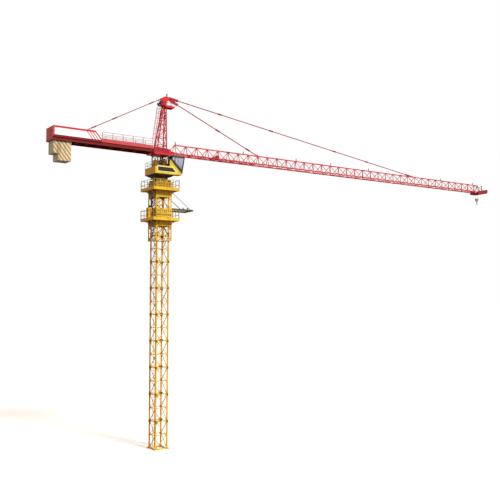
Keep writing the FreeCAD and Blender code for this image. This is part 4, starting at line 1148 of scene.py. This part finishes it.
# %% Top chord and jib ropes
piece("jib_chord_sleeves", [about(rows(joint_x + 0.75, 0, 34.75), (0.34, 0.150, 0.150))], UPPER, "tie_red",
      bevel=0.004)
foot = rows([1.96, 11.61, 20.0, 25.98, 33.0, 40.5, 48.0, 55.5], 0, 34.80)
piece("jib_top_posts", [bars(foot, foot + [0, 0, 0.34], 0.07), about(foot, (0.20, 0.14, 0.03))], UPPER, "dark_steel",
      bevel=0.004)
low_rope = CHORD_Z - 0.063
ropes = [tube([[1.0, 0, low_rope], [30, 0, low_rope], [57.9, 0, low_rope]], 0.009, 8),
         tube([[7.73, 0.10, 34.15], [1.6, 0.10, 33.9]], 0.007, 8),
         tube([[7.73, -0.12, 33.85], [30, -0.12, 33.80], [58.1, -0.12, 33.74]], 0.007, 8),
         tube([[7.73, 0.12, 33.85], [30, 0.12, 33.79], [58.1, 0.12, 33.72]], 0.007, 8),
         tube([[-9.98, 0.0, 34.60], [0.90, 0.0, 33.97]], 0.009, 8)]
piece("jib_ropes", ropes, UPPER, "rope_steel")
guides = [lathe([(r * 0.75, a) for r, a in sheave], [[0.95, 0, 33.77], [57.95, 0, 33.76]], Y_AXIS, 28),
          about([[0.95, y, 33.65] for y in (-0.06, 0.06)], (0.10, 0.02, 0.35)),
          about([[57.95, y, 33.72] for y in (-0.06, 0.06)], (0.5, 0.02, 0.16))]
piece("rope_guide_sheaves", guides, UPPER, "dark_steel", smooth=True)

# %% [markdown]
# Thick gussets spread the load at the jib's root, and the tip is closed by plates on both sides, with a lamp
# over it. One outline makes the plate of each side.

# %% Jib root and tip
root = [(0.62, 33.50), (1.05, 33.50), (1.9, CHORD_Z - 0.05), (1.9, CHORD_Z + 0.06), (1.05, CHORD_Z + 0.20),
        (0.70, 33.80)]
piece("jib_root_gussets", slab_pair(root, 0.712, 0.730), UPPER, "works_red", bevel=0.003)
tip = slab_pair([(57.25, CHORD_Z - 0.06), (57.5, CHORD_Z - 0.06), (58.25, CHORD_Z - 0.06), (58.28, CHORD_Z + 0.45),
                 (57.9, CHORD_Z + 0.30), (57.25, CHORD_Z + 0.10)], 0.712, 0.730)
tip.append(blocks([57.30, -0.58, CHORD_Z + 0.02], [58.17, 0.58, CHORD_Z + 0.05]))
tip.append(bars([[57.72, 0, CHORD_Z + 0.05]], [[57.72, 0, 34.62]], 0.07))
piece("jib_tip_plates", tip, UPPER, "tie_red", bevel=0.003)
lamp = [(0.04, 34.60), (0.085, 34.62), (0.095, 34.74), (0.06, 34.82), (0.02, 34.83)]
piece("tip_lamp", [lathe(lamp, [[57.72, 0, 0]], Z_AXIS, 20)], UPPER, "dark_steel", smooth=True)

# %% [markdown]
# Rope lies on a drum in close turns. A spiral tube would show the same, with many times the faces; from outside
# the turns are a row of small swellings, so the drum's profile can carry them.

# %% Trolley winch
def windings(centre, radius, rope, half, axis=Y_AXIS):
    """Rope on a drum, as a lathe profile: the radius rises and falls by half a rope once per turn,
    radius + rope/2 · |sin(π · turns)|."""
    n = int(2 * half / rope)
    s = np.linspace(0, n, n * 6 + 1)
    r = radius + rope * 0.5 * np.abs(np.sin(math.pi * s))
    return lathe(np.stack([r, -half + s * rope], 1), [centre], axis, 28)


piece("trolley_winch_rope", [windings((7.73, 0, 34.0), 0.152, 0.02, 0.24)], UPPER, "rope_steel", smooth=True)
motor = [(0.06, -0.05), (0.11, -0.05)] + fins(0.12, 0.105, 0.0, 0.016, 18) + [(0.06, 0.30)]
piece("trolley_winch_motor", [lathe(motor, [[7.45, 0, 33.85]], (-1, 0, 0), 24),
                              blocks([7.0, -0.14, 33.66], [7.5, 0.14, 33.70])], UPPER, "winch_red", smooth=True)

# %% [markdown]
# ## The counter-jib
# Behind the mast the counter-jib carries the hoist winch: a drum of rope between a finned motor and a gearbox.

# %% Hoist winch
DRUM = (-10.0, 0, 34.33)
piece("hoist_rope", [windings(DRUM, 0.262, 0.024, 0.37)], UPPER, "rope_steel", smooth=True)
motor = [(0.10, 0.40), (0.205, 0.41)] + fins(0.222, 0.200, 0.44, 0.016, 20)
motor += [(0.2, 0.77), (0.2, 0.84), (0.08, 0.85)]
rim_profile = [(0.30, -0.50), (0.32, -0.49), (0.32, -0.46), (0.30, -0.45)]
piece("hoist_motor_fins", [lathe(profile, [DRUM], Y_AXIS, 36) for profile in (motor, rim_profile)], UPPER,
      "drive_paint", smooth=True)
gearbox = [blocks([-10.30, -0.76, 33.87], [-9.70, -0.50, 34.62]),
           blocks([-10.40, -0.78, 33.86], [-9.60, -0.46, 33.95]),
           blocks([-10.45, -0.50, 33.86], [-9.55, 0.90, 33.90])]
piece("hoist_gearbox", gearbox, UPPER, "winch_red", bevel=0.02)

# %% [markdown]
# The weights that balance the jib hang behind the winch on steel bars. White panels stand along both sides, with
# a raised edge. Between them is the electrical cabinet with its doors; the column's hatches share its paint.

# %% Weight hangers, panel edges and cabinet doors
slab_x = [-11.19 - 0.29 * k for k in range(5)]  # middles of the five thin weights
hangers = rods(0.03, 0.985, rows(slab_x + [-12.6, -12.93], 0, 33.875), Y_AXIS, 14)
piece("weight_hangers", [hangers], UPPER, "stay_steel", smooth=True)
outline = rows([-13.13, -13.13, -8.43, -7.68, -7.68], 0, [33.78, 34.93, 34.93, 34.04, 33.78])
edging = [bar for s in BOTH for bar in ring_of_bars(outline + [0, s * 1.004, 0], 0.043, 0.03)]
edging.append(about([[-13.19, 0, z] for z in (33.6, 34.05, 34.5, 34.85)], (0.02, 1.90, 0.05)))
piece("panel_edging", edging, UPPER, "works_red", bevel=0.004)
doors = []
for y in (-0.46, 0.0, 0.46):
    doors += [about([[-10.41, y, 34.30]], (0.02, 0.42, 0.82)), about([[-10.39, y + 0.15, 34.3]], (0.03, 0.03, 0.14))]
doors.append(about([[-10.62, 0, 34.77]], (0.46, 1.46, 0.04)))
doors += [about([[0.33, -0.565, z + 0.1]], (0.46, 0.02, 0.28)) for z in np.arange(31.3, 32.6, 0.32)]
piece("cabinet_doors", doors, UPPER, "worn_brown", bevel=0.004)

# %% [markdown]
# Behind the panels are their ribs. Each weight has two loops of bar cast into its top, for lifting it, and the
# deck has treads across it to walk on. A loop is a half circle of tube that ends inside the weight.

# %% Panel ribs, weight loops and deck treads
ribs = [blocks([x - 0.025, s * 0.93 - 0.03, 33.86], [x + 0.025, s * 0.93 + 0.03, 34.92])
        for x in np.arange(-12.9, -8.3, 0.6) for s in BOTH]
ribs += [blocks([-13.1, s * 0.93 - 0.03, 34.88], [-8.42, s * 0.93 + 0.03, 34.93]) for s in BOTH]
piece("panel_ribs", ribs, UPPER, "works_red")
turn = np.linspace(0, math.pi, 13)
loops = [tube(rows(x, y + 0.09 * np.cos(turn), 33.97 + 0.13 * np.sin(turn)), 0.012, 8)
         for x in slab_x + [-12.765] for y in (-0.4, 0.4)]
piece("weight_loops", loops, UPPER, "stay_steel", smooth=True)
tread_x = np.arange(-8.8, -1.6, 0.10)
treads = bars(rows(tread_x, -0.86, 33.856), rows(tread_x, 0.86, 33.856), 0.02, 0.012, Z_AXIS)
piece("deck_treads", [treads], UPPER, "deck_red")

# %% [markdown]
# ## Trolley, falls and hook
# The rope comes down from two sheaves in the trolley and round two in the block. A wire rope is six strands laid
# round a core, so its surface is a circle whose radius swells six times round and whose swelling turns as it
# climbs. Both falls are one piece.

# %% The rope falls
HOOK_X = 56.5  # how far out the parked trolley stands
lo, hi = np.array(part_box("hoist_falls")) / HALF
fall_low, fall_high = lo[2], hi[2] + 0.14


def laid_rope(x, z0, z1, radius=0.010, lay=0.16, sides=30):
    """Radius times 1 + 0.13·cos(6·angle - turn), with the turn growing by a full circle in each lay."""
    rings = int((z1 - z0) / lay * 14)
    s = np.linspace(0, 1, rings)[:, None]
    a = np.linspace(0, 2 * math.pi, sides, endpoint=False)[None]
    r = radius * (1 + 0.13 * np.cos(6 * a - 2 * math.pi * s * (z1 - z0) / lay))
    points = rows(x + r * np.cos(a), r * np.sin(a), z0 + (z1 - z0) * s)
    return real(points.reshape(-1, 3)), ring_quads(rings, sides).tolist() + end_caps(rings, sides)


falls = piece("rope_falls", [laid_rope(x, fall_low, fall_high) for x in (lo[0] + 0.009, hi[0] - 0.009)], "trolley",
              "rope_steel", smooth=True)
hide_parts("hoist_falls")
falls.parent = None
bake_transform(falls)

# %% [markdown]
# The hook turns freely below the block on a nut. It is forged, thickest where it bends under the load, and a
# latch closes its mouth. A tube along an arc, with a changing radius, gives just that shape.

# %% The hook, its latch, and the block's pins
block_z = sum(p[2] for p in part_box("block_sheaves"))  # the sheaves' middle: half their sum, doubled
nut_z = block_z - 0.35
eye = nut_z - 0.36                                               # the middle of the hook's bend
bend = np.radians(np.linspace(90, -165, 40))
curve = rows(HOOK_X + 0.093 * np.cos(bend), 0, eye + 0.093 * np.sin(bend))
neck = rows([HOOK_X, HOOK_X, HOOK_X + 0.005], 0, nut_z - np.array([0.09, 0.16, 0.225]))
swelling = np.interp(np.arange(38), [0, 12, 22, 37], [0.033, 0.040, 0.036, 0.014])
thick = np.concatenate([[0.034, 0.034, 0.033], swelling])
nut, turned = lathe([(0.05, 0), (0.075, -0.01), (0.075, -0.08), (0.05, -0.092)], [[HOOK_X, 0, nut_z]], Z_AXIS, 28)
hook = piece("swivel_hook", [tube(np.concatenate([neck, curve[2:]]), thick, 16), (nut, [f[::-1] for f in turned])],
             "hook", "dark_steel", smooth=True)
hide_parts("hook")
piece("hook_latch", [bars([[HOOK_X - 0.02, 0, eye + 0.10]], [[HOOK_X - 0.088, 0, eye - 0.005]], 0.012, 0.04)],
      "hook", "stay_steel")
pin_ends = {-1: [(0.02, -0.11), (0.045, -0.105), (0.045, -0.087)],
            1: [(0.045, 0.087), (0.045, 0.105), (0.02, 0.11)]}
pins = [lathe(pin_ends[s], [[HOOK_X + dx, 0, block_z]], Y_AXIS, 20) for s in BOTH for dx in (-0.18, 0.18)]
piece("block_pins", pins, "hook_block", "dark_steel", smooth=True)

# %% [markdown]
# Rubber buffers on the trolley meet the stops at both ends of the jib. They ride on the trolley, and each is a
# short turned stub.

# %% Trolley buffers
buffer_ends = ([(0.05, 0.60), (0.05, 0.66), (0.035, 0.68)], [(0.035, -0.68), (0.05, -0.66), (0.05, -0.60)])
buffers = [lathe(end, [[HOOK_X, s * 0.76, CHORD_Z - 0.15]], X_AXIS, 18) for end in buffer_ends for s in BOTH]
piece("trolley_buffers", buffers, "trolley", "cab_trim", smooth=True)

# %% [markdown]
# ## Stage, light and camera
# A pale floor lies under plain daylight. A wide white floor would light every underside from below, which open
# ground does not do, so the floor and the sky are white to the camera only and give back less light than that.

# %% Floor
def to_camera(tree, lit, shown, socket):
    """Sends one colour to the camera and another to everything it lights."""
    link(tree, mix(tree, node(tree, "ShaderNodeLightPath").outputs["Is Camera Ray"], lit, shown), socket)


mesh = bpy.data.meshes.new("floor")
r = 900.0  # far enough to reach the horizon
mesh.from_pydata([(-r, -r, -0.004), (r, -r, -0.004), (r, r, -0.004), (-r, r, -0.004)], [], [(0, 1, 2, 3)])
floor = bpy.data.objects.new("floor", mesh)
bpy.context.scene.collection.objects.link(floor)
ground = bpy.data.materials.new("pale floor")
ground.use_nodes = True
shader = ground.node_tree.nodes["Principled BSDF"]
to_camera(ground.node_tree, (0.13, 0.125, 0.12), (0.90, 0.90, 0.90), shader.inputs["Base Color"])
shader.inputs["Roughness"].default_value = 1.0
mesh.materials.append(ground)
print("floor:", 2 * r, "m across")

# %% [markdown]
# One soft sun stands high in front. The sky fills the shadows with a slightly warm light. Area lamps would need
# to be huge to light a crane this evenly.

# %% Sun and sky
sun = bpy.data.objects.new("sun", bpy.data.lights.new("sun", "SUN"))
sun.data.energy, sun.data.angle = 3.5, math.radians(14)
sun.rotation_euler = (math.radians(50), 0, math.radians(8))
bpy.context.scene.collection.objects.link(sun)
world = bpy.data.worlds.new("sky")
world.use_nodes = True
to_camera(world.node_tree, (0.70, 0.62, 0.54), (1, 1, 1), world.node_tree.nodes["Background"].inputs["Color"])
bpy.context.scene.world = world
bpy.context.scene.view_settings.view_transform = "Standard"
print("sun strength:", sun.data.energy)

# %% [markdown]
# The camera stands well back, about halfway up the mast, and looks up a little. A long lens from there keeps
# the mast nearly straight.

# %% Camera
camera = bpy.data.objects.new("camera", bpy.data.cameras.new("camera"))
camera.location = (-20.155, -37.968, 8.377)
camera.rotation_euler = (math.radians(93.773), 0, math.radians(-34.884))
camera.data.lens, camera.data.sensor_width, camera.data.clip_end = 53.73, 36, 3000
bpy.context.scene.collection.objects.link(camera)
bpy.context.scene.camera = camera
print("camera:", camera.data.lens, "mm lens")

# %% [markdown]
# ## Count
# The finished crane may stand a little past its steelwork, by its bolts and lamps. Its pieces and faces are counted.

# %% Count pieces and faces
print("pieces:", len(made), "faces:", sum(n for _, n in made))
